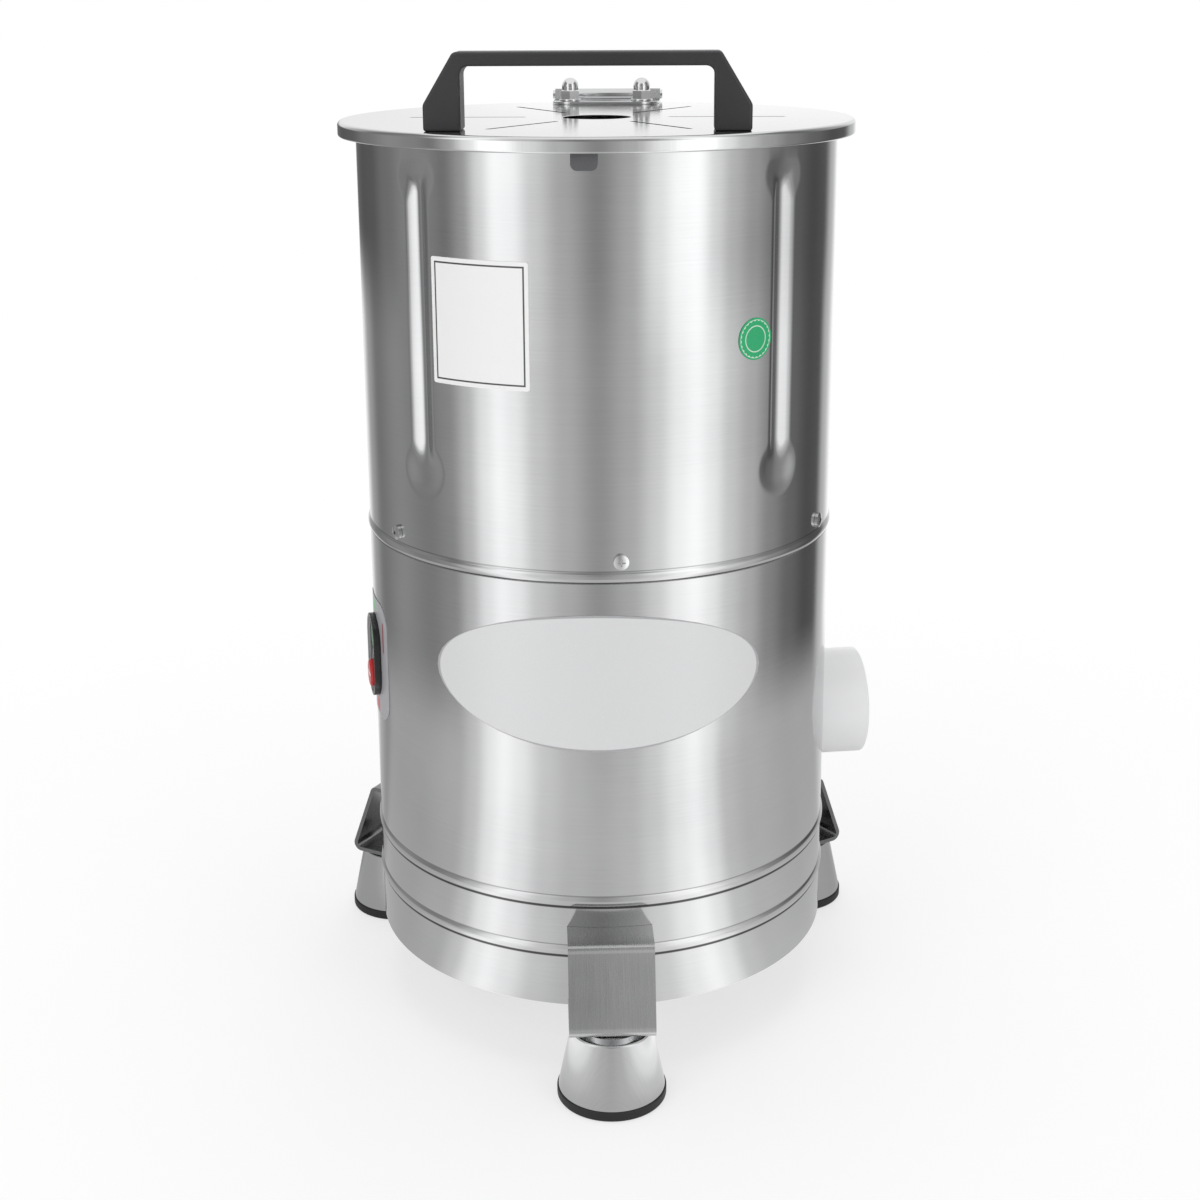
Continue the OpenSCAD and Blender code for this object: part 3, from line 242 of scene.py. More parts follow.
studio = {
    "worldLight": 0.62,      # strength of the world for diffuse light
    "paperWhite": 0.95,      # the floor is a disc of white paper
    "paperGlow": 0.62,       # its least share of plain white, which grows to 1 away from the part
    "paperFade": (0.30, 0.95),
    "paperReach": 6000.0,
    "paperDrop": 0.3,
    "paperSteps": 48,
    "wallRadius": 620.0,     # the reflected studio stands this far from the drum
    "wallHeight": 1300.0,
    "wallFade": 120.0,
    "wallFloor": (50.0, 0.3),  # inner radius and height of the disc at the wall's foot
    "wallSteps": 96,
    # heights over which each list of tones goes over to the next
    "wallChanges": ((2.0, 100.0), (370.0, 480.0), (600.0, 680.0)),
    # turn from the camera in degrees, and what bright steel sees there, from the floor up
    "wallTones": [
        [(-180, 1.2), (-150, 0.9), (-136, 0.5), (-125, 0.38), (-116, 0.52), (-90, 0.54),
         (-66, 0.62), (-57, 0.82), (-49, 1.26), (-43, 1.46), (-35, 1.26), (-24, 0.88),
         (-12, 0.72), (0, 0.65), (12, 0.73), (23, 0.94), (33, 1.28), (41, 1.46), (48, 1.22),
         (56, 0.82), (68, 0.70), (100, 0.60), (124, 0.55), (136, 0.72), (152, 0.95), (180, 1.2)],
        [(-180, 1.2), (-150, 0.95), (-134, 0.42), (-122, 0.24), (-100, 0.36), (-80, 0.29),
         (-66, 0.38), (-57, 0.74), (-49, 1.26), (-42, 1.54), (-35, 1.36), (-26, 0.90),
         (-14, 0.65), (0, 0.43), (13, 0.62), (24, 0.96), (33, 1.38), (41, 1.56), (49, 1.30),
         (57, 0.90), (68, 0.64), (80, 0.36), (94, 0.20), (110, 0.11), (120, 0.12), (130, 0.60),
         (148, 1.15), (180, 1.2)],
        [(-180, 1.2), (-158, 0.9), (-148, 0.16), (-134, 0.12), (-120, 0.14), (-106, 0.24),
         (-88, 0.34), (-74, 0.30), (-66, 0.24), (-57, 0.46), (-49, 1.05), (-42, 1.58),
         (-35, 1.52), (-26, 1.0), (-14, 0.62), (0, 0.34), (13, 0.60), (24, 1.18), (33, 1.56),
         (41, 1.66), (49, 1.08), (57, 0.72), (68, 0.47), (80, 0.28), (94, 0.17), (110, 0.10),
         (122, 0.12), (134, 0.60), (150, 1.15), (180, 1.2)],
        [(-180, 0.93), (-140, 0.93), (-122, 0.55), (-100, 0.22), (-72, 0.30), (-52, 1.35),
         (-32, 0.75), (-6, 0.26), (18, 0.42), (42, 1.45), (62, 0.55), (88, 0.18), (116, 0.45),
         (140, 0.93), (180, 0.93)],
    ],
    "lampAim": (0.0, 0.0, 0.35),
    # place, size and power of each lamp
    "lamps": {"keyLeft": ((-1.5, -2.1, 1.9), 1.5, 16.0), "keyRight": ((1.8, -1.7, 1.5), 1.2, 8.0),
              "topLamp": ((0.0, 0.2, 2.4), 1.6, 16.0), "backLamp": ((0.3, 2.2, 1.7), 1.4, 8.0)},
}


def makeLamps(look):
    for name, (place, size, power) in look["lamps"].items():
        data = bpy.data.lights.new(name, "AREA")
        data.shape, data.size, data.size_y, data.energy = "RECTANGLE", size, size, power
        lamp = placed(name, data)
        aim = Vector(look["lampAim"]) - Vector(place)
        lamp.matrix_world = (Matrix.Translation(place)
                             @ aim.to_track_quat("-Z", "Y").to_matrix().to_4x4())
        lamp.visible_glossy = False
    world = Finish("paleStudio", True)
    seen = world.rays("Camera", "Glossy", "Transmission")
    strength = seen * (1.0 - look["worldLight"]) + look["worldLight"]
    white = world.node("ShaderNodeBackground", {}, {"Color": tint(1.0), "Strength": strength})
    bpy.context.scene.world = world.done(white, "World")


def makeFloor(look):
    paper = Finish("studioPaper")
    x, y, _ = paper.axes
    away = ((x * x + y * y) ** 0.5).ramp(*look["paperFade"])
    share = (away * (1 - look["paperGlow"]) + look["paperGlow"]) * paper.rays("Camera", "Glossy")
    matt = paper.node("ShaderNodeBsdfDiffuse", {}, {"Color": tint(look["paperWhite"])})
    above = paper.mix(share, matt, paper.glow(1.0, 1.0))
    below = paper.node("ShaderNodeNewGeometry", {}, {}, "Backfacing")
    turns = [2 * math.pi * k / look["paperSteps"] for k in range(look["paperSteps"])]
    rim = [(look["paperReach"] * math.cos(a), look["paperReach"] * math.sin(a),
            -look["paperDrop"]) for a in turns]
    mesh = meshOf("studioFloor", rim, [list(range(len(rim)))])
    mesh.materials.append(paper.done(paper.mix(below, above, paper.clear())))
    placed("studioFloor", mesh)


def makeWall(look):  # soft cards and light strips that only the bright metal sees
    cards = Finish("studioCards")
    turn, _, z = cards.round
    turn = (turn - math.radians(cameraPlace["turn"])).wrap(math.pi) / (2 * math.pi) + 0.5
    height = z * 1000
    top = max(tone for tones in look["wallTones"] for _, tone in tones)
    ramps = [cards.node("ShaderNodeValToRGB",
                        {"stops": [((a + 180) / 360, tone / top) for a, tone in tones]}, {0: turn})
             for tones in look["wallTones"]]
    tone = ramps[0]
    for (low, high), upper in zip(look["wallChanges"], ramps[1:]):
        tone = cards.blend(height.ramp(low, high), tone, upper)
    fade = height.ramp(look["wallHeight"] - look["wallFade"], look["wallHeight"])
    mixed = cards.mix(fade, cards.glow(tone, top), cards.clear())
    count, (inner, lift) = look["wallSteps"], look["wallFloor"]
    rings = [(inner, lift), (look["wallRadius"], lift), (look["wallRadius"], look["wallHeight"])]
    points = [around(2 * math.pi * i / count, r, h) for r, h in rings for i in range(count)]
    mesh = meshOf("studioCards", points, lattice(count, len(rings), False))
    mesh.materials.append(cards.done(mixed))
    wall = placed("studioCards", mesh)
    wall.visible_camera = wall.visible_diffuse = wall.visible_shadow = False
    wall.visible_transmission = wall.visible_volume_scatter = False


makeLamps(studio)
makeFloor(studio)
makeWall(studio)
bpy.context.scene.view_settings.view_transform = "Standard"
print("studio lit")


# Finishes

# scales of the noises in brushed steel: grain along, across and towards the axis, clouds, spots
steelNoise = {"grain": (30, 2600, 60), "cloud": 9.0, "spot": 60.0, "bumpDepth": 0.0001}
plasticNoise = {"cloud": 35.0, "bumpDepth": 0.0002}
filmNoise = {"grain": 1400.0, "bump": 0.03, "bumpDepth": 0.0001}


def brushedSteel(name, look):
    finish = Finish(name)
    turn, radius, z = finish.round
    x, y, _ = finish.axes
    arc = turn * (drums["radius"] / 1000)
    along, across = {"round": (arc, z), "upright": (z, arc), "flat": (x, y),
                     "disc": (arc, radius)}[look["grain"]]
    fine, coarse, inward = steelNoise["grain"]
    grain = finish.noise(finish.vector(along * fine, across * coarse, radius * inward),
                         1.0, 4.0, 0.6)
    cloud = finish.noise(finish.place, steelNoise["cloud"], 3.0)
    spot = finish.noise(finish.place, steelNoise["spot"], 2.0)
    tone, vary = look["tone"], look.get("vary", 0.055)
    dark = tuple(tone * (1 - vary) * v for v in (0.985, 0.99, 1.0))
    light = tuple(tone * (1 + vary) * v for v in (0.99, 0.995, 1.0))
    colour = finish.blend((cloud * 0.7 + grain * 0.3).ramp(0.3, 0.7), dark, light)
    for height, reach, share, ink in look.get("lines", ()):  # painted shade in creases and painted highlights on folds, at set heights
        near = abs(z * 1000 - height).ramp(reach * 0.4, reach, share, 0.0)
        colour = finish.blend(near, colour, tint(ink))
    # painted shade: the lid goes near black along the edges of its slots
    if "slots" in look:
        colour = finish.blend(slotEdgeShade(turn, radius * 1000, look["slots"]), colour, tint(0.03))
    rough = look["rough"] + (cloud - 0.5) * 0.06 + (grain - 0.5) * 0.10 + (spot - 0.5) * 0.03
    normal = finish.bump(grain, look["bump"], steelNoise["bumpDepth"])
    return finish.surface(Base_Color=colour, Metallic=1.0, Roughness=rough, Normal=normal)


def slotEdgeShade(turn, radius, look):  # painted shade mask: 0.85 along the edges of the cut slots and 0 elsewhere
    near, far, wide = look["near"], look["far"], look["wide"]
    off = abs((turn - math.radians(look["first"])).wrap(math.pi / look["count"]).sine() * radius)
    past = (abs(radius - (near + far) / 2) - (far - near) / 2).most(0.0)
    return (off + past).ramp(wide / 2 + 0.2, wide / 2 + 0.6, 0.85, 0.0)


def frameMask(across, up, wide, high, line):  # a line round a box of two half sizes
    off = (abs(across) - wide).most(abs(up) - high)
    return abs(off).ramp(line / 2, line / 2 + 0.25, 1.0, 0.0)


def barMask(across, up, right, above, wide, high):  # a filled box round its middle
    off = (abs(across - right) - wide).most(abs(up - above) - high)
    return off.ramp(-0.15, 0.15, 1.0, 0.0)


def trackMask(across, up, radius, straight, line):  # a line round a long hole
    past = (abs(up) - straight).most(0.0)
    off = (across * across + past * past) ** 0.5 - radius
    return abs(off).ramp(line / 2, line / 2 + 0.3, 1.0, 0.0)


def ovalMask(across, up, wide, high, share):  # all that lies outside this share of an oval
    far = ((across / wide) ** 2.0 + (up / high) ** 2.0) ** 0.5
    return far.ramp(share - 0.006, share + 0.006)


def ringMask(across, up, inner, outer, teeth, depth):  # a ring with a wavy inner edge
    far = (across * across + up * up) ** 0.5
    wave = (across.turnFrom(up) * teeth).sine() * depth
    return ((far - wave).ramp(inner - 0.12, inner + 0.12)
            * far.ramp(outer - 0.12, outer + 0.12, 1.0, 0.0))


def withPrints(finish, colour, look):  # marks placed in millimetres from a film's middle
    turn, _, z = finish.round
    across = (turn - math.radians(look["turn"])) * drums["radius"]
    up = z * 1000 - look["height"]
    for mask, sizes, ink in look["prints"]:
        colour = finish.blend(mask(across, up, *sizes), colour, ink)
    return colour


def mouldedPlastic(name, look):
    finish = Finish(name)
    grain = finish.noise(finish.place, look["grainScale"], 3.0, 0.6)
    cloud = finish.noise(finish.place, plasticNoise["cloud"], 2.0)
    dark = tuple(v * look.get("shade", 0.88) for v in look["colour"])
    light = tuple(min(1.0, v * look.get("shine", 1.08)) for v in look["colour"])
    colour = finish.blend((cloud * 0.6 + grain * 0.4).ramp(0.3, 0.7), dark, light)
    if "prints" in look:
        colour = withPrints(finish, colour, look)
    calm = look.get("calm", 1.0)
    rough = look["rough"] + (grain - 0.5) * (0.12 * calm) + (cloud - 0.5) * (0.06 * calm)
    normal = finish.bump(grain, look["bump"], plasticNoise["bumpDepth"])
    return finish.surface(Base_Color=colour, Roughness=rough, Normal=normal)


def printedFilm(name, look):
    film = Finish(name)
    grain = film.noise(film.place, filmNoise["grain"], 2.0)
    dark = tuple(v * 0.985 for v in look["ground"])
    colour = withPrints(film, film.blend(grain.ramp(0.3, 0.7), dark, look["ground"]), look)
    rough = look["rough"] + (grain - 0.5) * 0.08
    normal = film.bump(grain, filmNoise["bump"], filmNoise["bumpDepth"])
    return film.surface(Base_Color=colour, Roughness=rough, Normal=normal, Coat_Weight=0.15,
                        Coat_Roughness=0.12)


def steel(tone, rough, bump, grain, **more):
    return {"tone": tone, "rough": rough, "bump": bump, "grain": grain, **more}


def plastic(colour, rough, bump, grainScale, **more):
    return {"colour": colour, "rough": rough, "bump": bump, "grainScale": grainScale, **more}


# painted shade and highlight lines at set heights: dark ones are painted shade in the creases at
# the beads and the joint, light ones are painted highlights on the bracket's folds; height, reach,
# strength and tone
steelLooks = {
    "drumSteel": steel(0.60, 0.11, 0.035, "round",
                       # painted shade in the gap at the joint and along the top of the drum's bead
                       lines=[(drums["joint"] + 0.2, 1.2, 0.90, 0.04),
                              (drums["joint"] + drums["beadHigh"] + 0.3, 0.6, 0.45, 0.12)]),
    "drumInside": steel(0.62, 0.36, 0.08, "round"),
    "housingSteel": steel(0.60, 0.12, 0.035, "round",
                          # painted shade under each bead and along its upper edge
                          lines=[(low - 0.1, 1.5, 0.92, 0.03) for low in drums["beads"]]
                          + [(low + drums["beadHigh"] + 0.3, 0.6, 0.50, 0.12)
                             for low in drums["beads"]]),
    "lidSteel": steel(0.67, 0.09, 0.03, "flat", slots=lidSlots),
    # near black: painted shade on the walls of cut openings and slots
    "cutEdgeShade": steel(0.06, 0.45, 0.1, "flat"),
    "bracketSteel": steel(0.47, 0.27, 0.05, "upright", vary=0.16,
                          # painted highlights along the bracket's bottom and top folds
                          lines=[(51.9, 3.4, 0.80, 0.95), (101.6, 1.2, 0.45, 0.80)]),
    # a darker copy of bracketSteel: painted shade for the side brackets, whose faces seen here lie
    # in shade
    "shadedSideBracketSteel": steel(0.24, 0.28, 0.05, "upright", vary=0.14),
    "coneSteel": steel(0.53, 0.10, 0.05, "disc"),
    "hingeSteel": steel(0.66, 0.12, 0.04, "flat"),
    "traySteel": steel(0.58, 0.26, 0.08, "disc"),
    "plateSteel": steel(0.50, 0.34, 0.12, "flat"),
    "fastenerSteel": steel(0.66, 0.18, 0.05, "disc"),
    "chromeSteel": steel(0.74, 0.06, 0.0, "disc"),
    "bearingSteel": steel(0.52, 0.20, 0.05, "disc"),
    "spindleIron": steel(0.20, 0.55, 0.35, "disc"),
    "discAluminium": steel(0.72, 0.34, 0.12, "disc"),
}
plasticLooks = {
    "handlePlastic": plastic((0.030, 0.030, 0.032), 0.46, 0.35, 1500.0),
    # dark grey is painted shade: the tab sits in shade under the lid's rim
    "shadedTabPlastic": plastic((0.105, 0.107, 0.112), 0.42, 0.2, 1200.0),
    "whitePvc": plastic((0.88, 0.885, 0.89), 0.28, 0.01, 300.0, shade=0.985, shine=1.0,
                        calm=0.15),
    "drainPvc": plastic((0.55, 0.56, 0.58), 0.38, 0.08, 300.0),
    "glandPlastic": plastic((0.020, 0.020, 0.021), 0.42, 0.2, 900.0),
    "boxPlastic": plastic((0.030, 0.031, 0.033), 0.50, 0.25, 800.0),
    "switchPlastic": plastic((0.010, 0.010, 0.011), 0.22, 0.06, 1200.0, **switchPlace,
                             prints=[(trackMask, (14.2, 11.5, 1.5), (0.30, 0.30, 0.31))]),
    "startGreen": plastic((0.010, 0.200, 0.060), 0.28, 0.05, 700.0),
    # the white bar across the stop button is a white mark and also the button's painted highlight
    "stopRed": plastic((0.560, 0.012, 0.014), 0.26, 0.02, 700.0, shade=0.96, shine=1.02,
                       **switchPlace, prints=[(barMask, (0.0, -13.5, 6.0, 0.9),
                                               (0.85, 0.85, 0.84))]),
    "beltRubber": plastic((0.018, 0.018, 0.018), 0.72, 0.5, 500.0),
    "sealRubber": plastic((0.016, 0.016, 0.017), 0.60, 0.3, 600.0),
    "footRubber": plastic((0.012, 0.012, 0.013), 0.55, 0.3, 500.0),
    "motorPaint": plastic((0.050, 0.090, 0.150), 0.42, 0.25, 420.0),
    "capacitorCan": plastic((0.60, 0.60, 0.57), 0.35, 0.05, 300.0),
    "abrasiveGrit": plastic((0.060, 0.060, 0.063), 0.80, 1.0, 900.0, shade=0.72, shine=1.45),
}
filmLooks = {
    "panelFilm": {**switchPlace, "ground": (0.40, 0.40, 0.42), "rough": 0.32,
                  "prints": [(barMask, (-2.0, 35.0, 7.5, 4.4), (0.10, 0.50, 0.20)),
                             (barMask, (24.0, 19.0, 1.5, 10.5), (0.34, 0.08, 0.09)),
                             (barMask, (2.0, -35.2, 6.0, 4.2), (0.62, 0.04, 0.05))]},
    "badgeFilm": {"turn": 2.1, "height": 271.5, "ground": (0.72, 0.725, 0.73), "rough": 0.26,
                  "prints": [(ovalMask, (111.0, 44.3, 0.985), (0.42, 0.42, 0.43))]},
    "labelFilm": {"turn": -24.6, "height": 495.0, "ground": (0.90, 0.90, 0.90), "rough": 0.38,
                  "prints": [(frameMask, (30.6, 35.6, 0.8), (0.05, 0.05, 0.05))]},
    "stickerFilm": {"turn": 40.0, "height": 482.5, "ground": (0.015, 0.42, 0.16), "rough": 0.30,
                    "prints": [(ringMask, (7.6, 8.3, 0.0, 0.0), (0.62, 0.80, 0.66)),
                               (ringMask, (11.3, 11.9, 24.0, 0.35), (0.62, 0.80, 0.66))]},
}

finishes = {name: brushedSteel(name, look) for name, look in steelLooks.items()}
finishes.update({name: mouldedPlastic(name, look) for name, look in plasticLooks.items()})
finishes.update({name: printedFilm(name, look) for name, look in filmLooks.items()})
print("finishes made:", len(finishes))

wornBy = {
    "housingSteel": ["lower_housing", "chamber_drum"],
    "lidSteel": ["lid_disc"],
    "bracketSteel": ["leg_front", "hinge_bracket"],
    "shadedSideBracketSteel": ["leg_left", "leg_right"],
    "coneSteel": ["cone_front", "cone_left", "cone_right"],
    "hingeSteel": ["hinge_leaf"],
    "traySteel": ["drain_tray"],
    "plateSteel": ["motor_plate", "bottom_cover"],
    "fastenerSteel": ["drum_screws", "spindle_bolts", "motor_bolts", "cover_screws", "foot_bolts",
                      "bracket_screws", "handle_screws", "leaf_bolts", "disc_nut",
                      "foot_washers"],
    "chromeSteel": ["cap_nuts", "hinge_pin", "drive_shaft"],
    "bearingSteel": ["upper_bearing", "lower_bearing"],
    "spindleIron": ["spindle_housing", "motor_stator", "motor_rotor"],
    "discAluminium": ["peeling_disc", "disc_hub", "driven_pulley", "motor_pulley",
                      "motor_lower_bell", "motor_upper_bell"],
    "handlePlastic": ["lid_handle"],
    "shadedTabPlastic": ["lid_tab"],
    "whitePvc": ["outlet_pipe"],
    "drainPvc": ["drain_elbow"],
    "glandPlastic": ["cable_gland"],
    "boxPlastic": ["terminal_box"],
    "switchPlastic": ["switch_body"],
    "startGreen": ["start_button"],
    "stopRed": ["stop_button"],
    "beltRubber": ["drive_belt"],
    "sealRubber": ["shaft_seal"],
    "footRubber": ["ring_front", "ring_left", "ring_right"],
    "motorPaint": ["motor_shell"],
    "capacitorCan": ["capacitor"],
    "abrasiveGrit": ["abrasive_pad"],
    "panelFilm": ["switch_panel"],
    "badgeFilm": ["badge_plate"],
    "labelFilm": ["info_label"],
    "stickerFilm": ["round_sticker"],
}
for finishName, wearers in wornBy.items():
    for name in wearers:
        for slot in nodes[name].material_slots:
            slot.material = finishes[finishName]
undressed = set(nodes) - {name for wearers in wornBy.values() for name in wearers}
print("parts without a finish:", sorted(undressed))


# Mesh helpers

def facedOut(mesh):
    shape = bmesh.new()
    shape.from_mesh(mesh)
    bmesh.ops.remove_doubles(shape, verts=shape.verts, dist=1e-7)
    bmesh.ops.dissolve_degenerate(shape, edges=shape.edges, dist=1e-8)
    bmesh.ops.recalc_face_normals(shape, faces=shape.faces)
    shape.to_mesh(mesh)
    shape.free()


def makePiece(name, shape, finish, node, sharp=30.0, inside=None):  # replaces a CAD node
    mesh = meshOf(name, *shape)
    mesh.materials.append(finishes[finish])
    if inside:  # the finish of the faces from a number on
        mesh.materials.append(finishes[inside[0]])
        for face in mesh.polygons[inside[1]:]:
            face.material_index = 1
    facedOut(mesh)
    return settle(placed(name, mesh), node, sharp)


def settle(made, node, sharp=30.0, replaces=True):
    made.data.shade_smooth()
    made.data.set_sharp_from_angle(angle=math.radians(sharp))
    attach(made, homeBody[node])
    if replaces:
        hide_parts(node)
    print("piece made:", made.name, len(made.data.polygons), "faces")
    return made


def shownMesh(made):  # a piece's mesh with its modifiers worked in
    return bpy.data.meshes.new_from_object(
        made.evaluated_get(bpy.context.evaluated_depsgraph_get()))


def filleted(points, radii, steps=5):  # rounds the corners of a closed outline
    made = []
    count = len(points)
    for i, radius in enumerate(radii):
        here = Vector(points[i])
        before, after = Vector(points[i - 1]) - here, Vector(points[(i + 1) % count]) - here
        if radius <= 0:
            made.append(tuple(here))
            continue
        angle = before.angle(after)
        reach = radius / math.tan(angle / 2)
        start, end = here + before.normalized() * reach, here + after.normalized() * reach
        middle = here + (before.normalized() + after.normalized()).normalized() * (
            radius / math.sin(angle / 2))
        first, last = start - middle, end - middle
        sweep = first.angle(last)
        for k in range(steps + 1):
            t = k / steps
            share = (math.sin((1 - t) * sweep), math.sin(t * sweep))
            made.append(tuple(middle + (first * share[0] + last * share[1]) / math.sin(sweep)))
    return made


def braced(loop, reach=0.6):  # extra points near the corners keep long flat runs flat
    made = []
    for k, here in enumerate(loop):
        after = loop[(k + 1) % len(loop)]
        made.append(here)
        length = math.dist(here, after)
        if length > 5 * reach:
            for t in (reach / length, 1 - reach / length):
                made.append(tuple(a + (b - a) * t for a, b in zip(here, after)))
    return made


def turned(loop, steps=192, centre=drums["axis"]):  # a closed outline of (radius, height)
    loop = braced(loop)
    count = len(loop)
    points, faces = [], []
    for i in range(steps):
        a = 2 * math.pi * i / steps
        points += [around(a, r, z, centre) for r, z in loop]
        here, there = i * count, (i + 1) % steps * count
        for k in range(count):
            m = (k + 1) % count
            if loop[k][0] or loop[m][0]:  # nothing is drawn along the axis
                faces.append((here + k, there + k, there + m, here + m))
    return points, faces


def slab(outline, low, high, put):  # an outline drawn out from low to high
    n = len(outline)
    points = [put(u, v, w) for w in (low, high) for u, v in outline]
    faces = [(i, (i + 1) % n, n + (i + 1) % n, n + i) for i in range(n)]
    faces += [tuple(range(n)), tuple(range(n, 2 * n))]
    return points, faces


def joined(*shapes):
    points, faces = [], []
    for some, sides in shapes:
        faces += [tuple(i + len(points) for i in side) for side in sides]
        points += some
    return points, faces


def cutOut(piece, cuts, sharp):  # takes closed shapes out of a piece
    mesh = meshOf("cutter", *joined(*cuts))
    facedOut(mesh)
    # the walls of the cuts get near-black painted shade
    mesh.materials.append(finishes["cutEdgeShade"])
    piece.data.materials.append(finishes["cutEdgeShade"])
    cutter = placed("cutter", mesh)
    cut = piece.modifiers.new("cut", "BOOLEAN")
    cut.object, cut.operation, cut.solver = cutter, "DIFFERENCE", "EXACT"
    cut.material_mode = "TRANSFER"
    shown = shownMesh(piece)
    piece.modifiers.remove(cut)
    piece.data = shown
    bpy.data.objects.remove(cutter)
    piece.data.set_sharp_from_angle(angle=math.radians(sharp))
    print("openings cut in", piece.name, len(cuts))


def outward(turn, height):  # places a shape looking out of the drum at one turn and height
    a = math.radians(turn)
    return lambda u, v, w: (axisX + w * math.sin(a) + u * math.cos(a),
                            axisY - w * math.cos(a) + u * math.sin(a), height + v)


def beadArc(low, count=12):  # height and reach of points over a rolled bead
    return [(low + drums["beadHigh"] * k / count,
             drums["beadOut"] * (1 - (2 * k / count - 1) ** 2)) for k in range(count + 1)]


# The two drums

drumLook = {"ribs": (48.5, 138.5, 228.5, 318.5),  # turns of the four pressed ribs
            "depth": 4.1, "halfWidth": 9.4, "foot": 392.0, "top": 585.0,
            "runLow": 16.0, "runHigh": 10.0,  # lengths of a rib's sloping ends
            "dish": (398.0, 3.0, 48.0), "scoop": (580.0, 2.0, 56.0),  # height, depth, radius
            "step": 2.5, "ribStep": 0.36, "ribReach": 7.8,  # turns between points, finer at ribs
            # rows of points above the bead: first height, step and count
            "rows": ((345.0, 1.4, 2), (352.0, 10.0, 3), (378.0, 1.3, 38), (430.0, 7.2, 18),
                     (556.0, 1.3, 27), (596.0, 5.0, 2), (604.5, 0.7, 2)),
            "rim": (0.3, 0.9), "sharp": 40.0}
housingLook = {"fit": 0.3, "neck": 21.0, "edge": 0.4, "shoulder": 0.5, "steps": 240, "sharp": 32.0,
               # place, radius and half length of the holes for the outlet and the switch
               "openings": ((outletPlace, 38.2, 0.0), (switchPlace, 14.4, 11.5)),
               "openingSteps": 48, "cutter": (130.0, 170.0)}


def softLeast(a, b, k):
    h = max(k - abs(a - b), 0.0) / k
    return min(a, b) - h * h * k / 4


def softMost(a, b, k):
    return -softLeast(-a, -b, k)


def pressedIn(across, z, look):  # depth of a rib and its dished ends at one place
    away = math.hypot(across, 0.7) - 0.4  # rounded at the middle of the rib
    wall = (look["halfWidth"] - away) * look["depth"] / (look["halfWidth"] - 1.2)
    low = (z - look["foot"]) * look["depth"] / look["runLow"]
    high = (look["top"] - z) * look["depth"] / look["runHigh"]
    rib = softLeast(softLeast(softLeast(wall, look["depth"], 0.6), low, 2.5), high, 2.0)
    for middle, deep, round_ in (look["dish"], look["scoop"]):
        rib = softMost(rib, deep - (across ** 2 + (z - middle) ** 2) / (2 * round_), 1.4)
    return max(0.0, softMost(rib, -0.45, 1.8))


def makeDrum(look):
    def offRib(turn):  # degrees from the nearest rib
        return min(((turn - rib + 180) % 360 - 180 for rib in look["ribs"]), key=abs)

    def ring(height, bead, inset):
        deep = [pressedIn(math.radians(offRib(turn)) * drums["radius"], height, look)
                for turn in turns]
        return [around(math.radians(turn), drums["radius"] + bead - inset - d, height)
                for turn, d in zip(turns, deep)]

    step, fine, reach = look["step"], look["ribStep"], look["ribReach"]
    turns = {step * k for k in range(round(360 / step)) if abs(offRib(step * k)) > reach}
    near = int(reach / fine)
    turns |= {round((rib + k * fine) % 360, 4) for rib in look["ribs"]
              for k in range(-near, near + 1)}
    turns = sorted(turns)
    heights = beadArc(drums["joint"])
    heights += [(low + step * k, 0.0) for low, step, count in look["rows"] for k in range(count)]
    rows = [ring(height, bead, 0.0) for height, bead in heights]
    rows += [ring(drums["high"], 0.0, inset) for inset in look["rim"]]
    first = len(rows) * len(turns)  # from this face on, the inside
    rows += [ring(height, bead, drums["sheet"]) for height, bead in reversed(heights)]
    shape = ([point for row in rows for point in row], lattice(len(turns), len(rows)))
    makePiece("drumShell", shape, "drumSteel", "chamber_drum", look["sharp"],
              ("drumInside", first))


def makeHousing(look):
    outer, sheet, edge, top = drums["radius"], drums["sheet"], look["edge"], drums["joint"]
    neckOut = outer - sheet - look["fit"]
    loop = [(outer - edge, drums["low"]), (outer, drums["low"] + edge)]
    loop += [(outer + out, z) for low in drums["beads"] for z, out in beadArc(low)]
    loop += [(outer, top - look["shoulder"]), (outer - look["shoulder"], top), (neckOut, top),
             (neckOut, top + look["neck"]), (neckOut - sheet, top + look["neck"]),
             (neckOut - sheet, top - sheet), (outer - sheet, top - sheet),
             (outer - sheet, drums["low"])]
    shell = makePiece("housingShell", turned(loop, look["steps"]), "housingSteel",
                      "lower_housing", look["sharp"])
    steps = look["openingSteps"]
    turns = [2 * math.pi * (k + 0.5) / steps for k in range(steps)]
    cuts = []
    for place, radius, straight in look["openings"]:
        outline = [(radius * math.cos(a), radius * math.sin(a)
                    + (straight if a < math.pi else -straight)) for a in turns]
        cuts.append(slab(outline, *look["cutter"], outward(**place)))
    cutOut(shell, cuts, look["sharp"])


makeDrum(drumLook)
makeHousing(housingLook)


# Lid, handle and hinge nuts

lidLook = {"sheet": 1.5, "radius": 169.0, "shoulder": 2.6, "rim": 9.5, "hem": 3.0,
           "hole": 22.5, "holeEdge": 0.3, "hemTurns": (-40, -260), "steps": 216, "sharp": 28.0}
gripLook = {"feet": 97.5, "top": 79.0, "inner": 75.0, "height": 46.0, "straight": 15.5,
            "bar": 8.3, "depth": 24.0, "out": 113.0, "edge": 1.6, "edgeTurn": 50.0,
            "bends": (5, 4)}
# radius and height of the washer and the hexagon, and the dome's radius and its middle's height
nutLook = {"places": ((-26.0, 141.95), (26.0, 141.95)), "base": 609.3, "washer": (8.0, 1.6),
           "hex": (7.36, 6.4), "chamfer": (0.8, 0.7), "dome": (6.16, 8.8), "edges": (0.4, 0.5),
           "steps": 40}


def arc(radius, start, end, steps):  # turns in radians, from straight up and outwards
    turns = [start + (end - start) * k / steps for k in range(steps + 1)]
    return [(radius * math.sin(a), radius * math.cos(a)) for a in turns]


def moved(points, right, up):
    return [(right + x, up + y) for x, y in points]


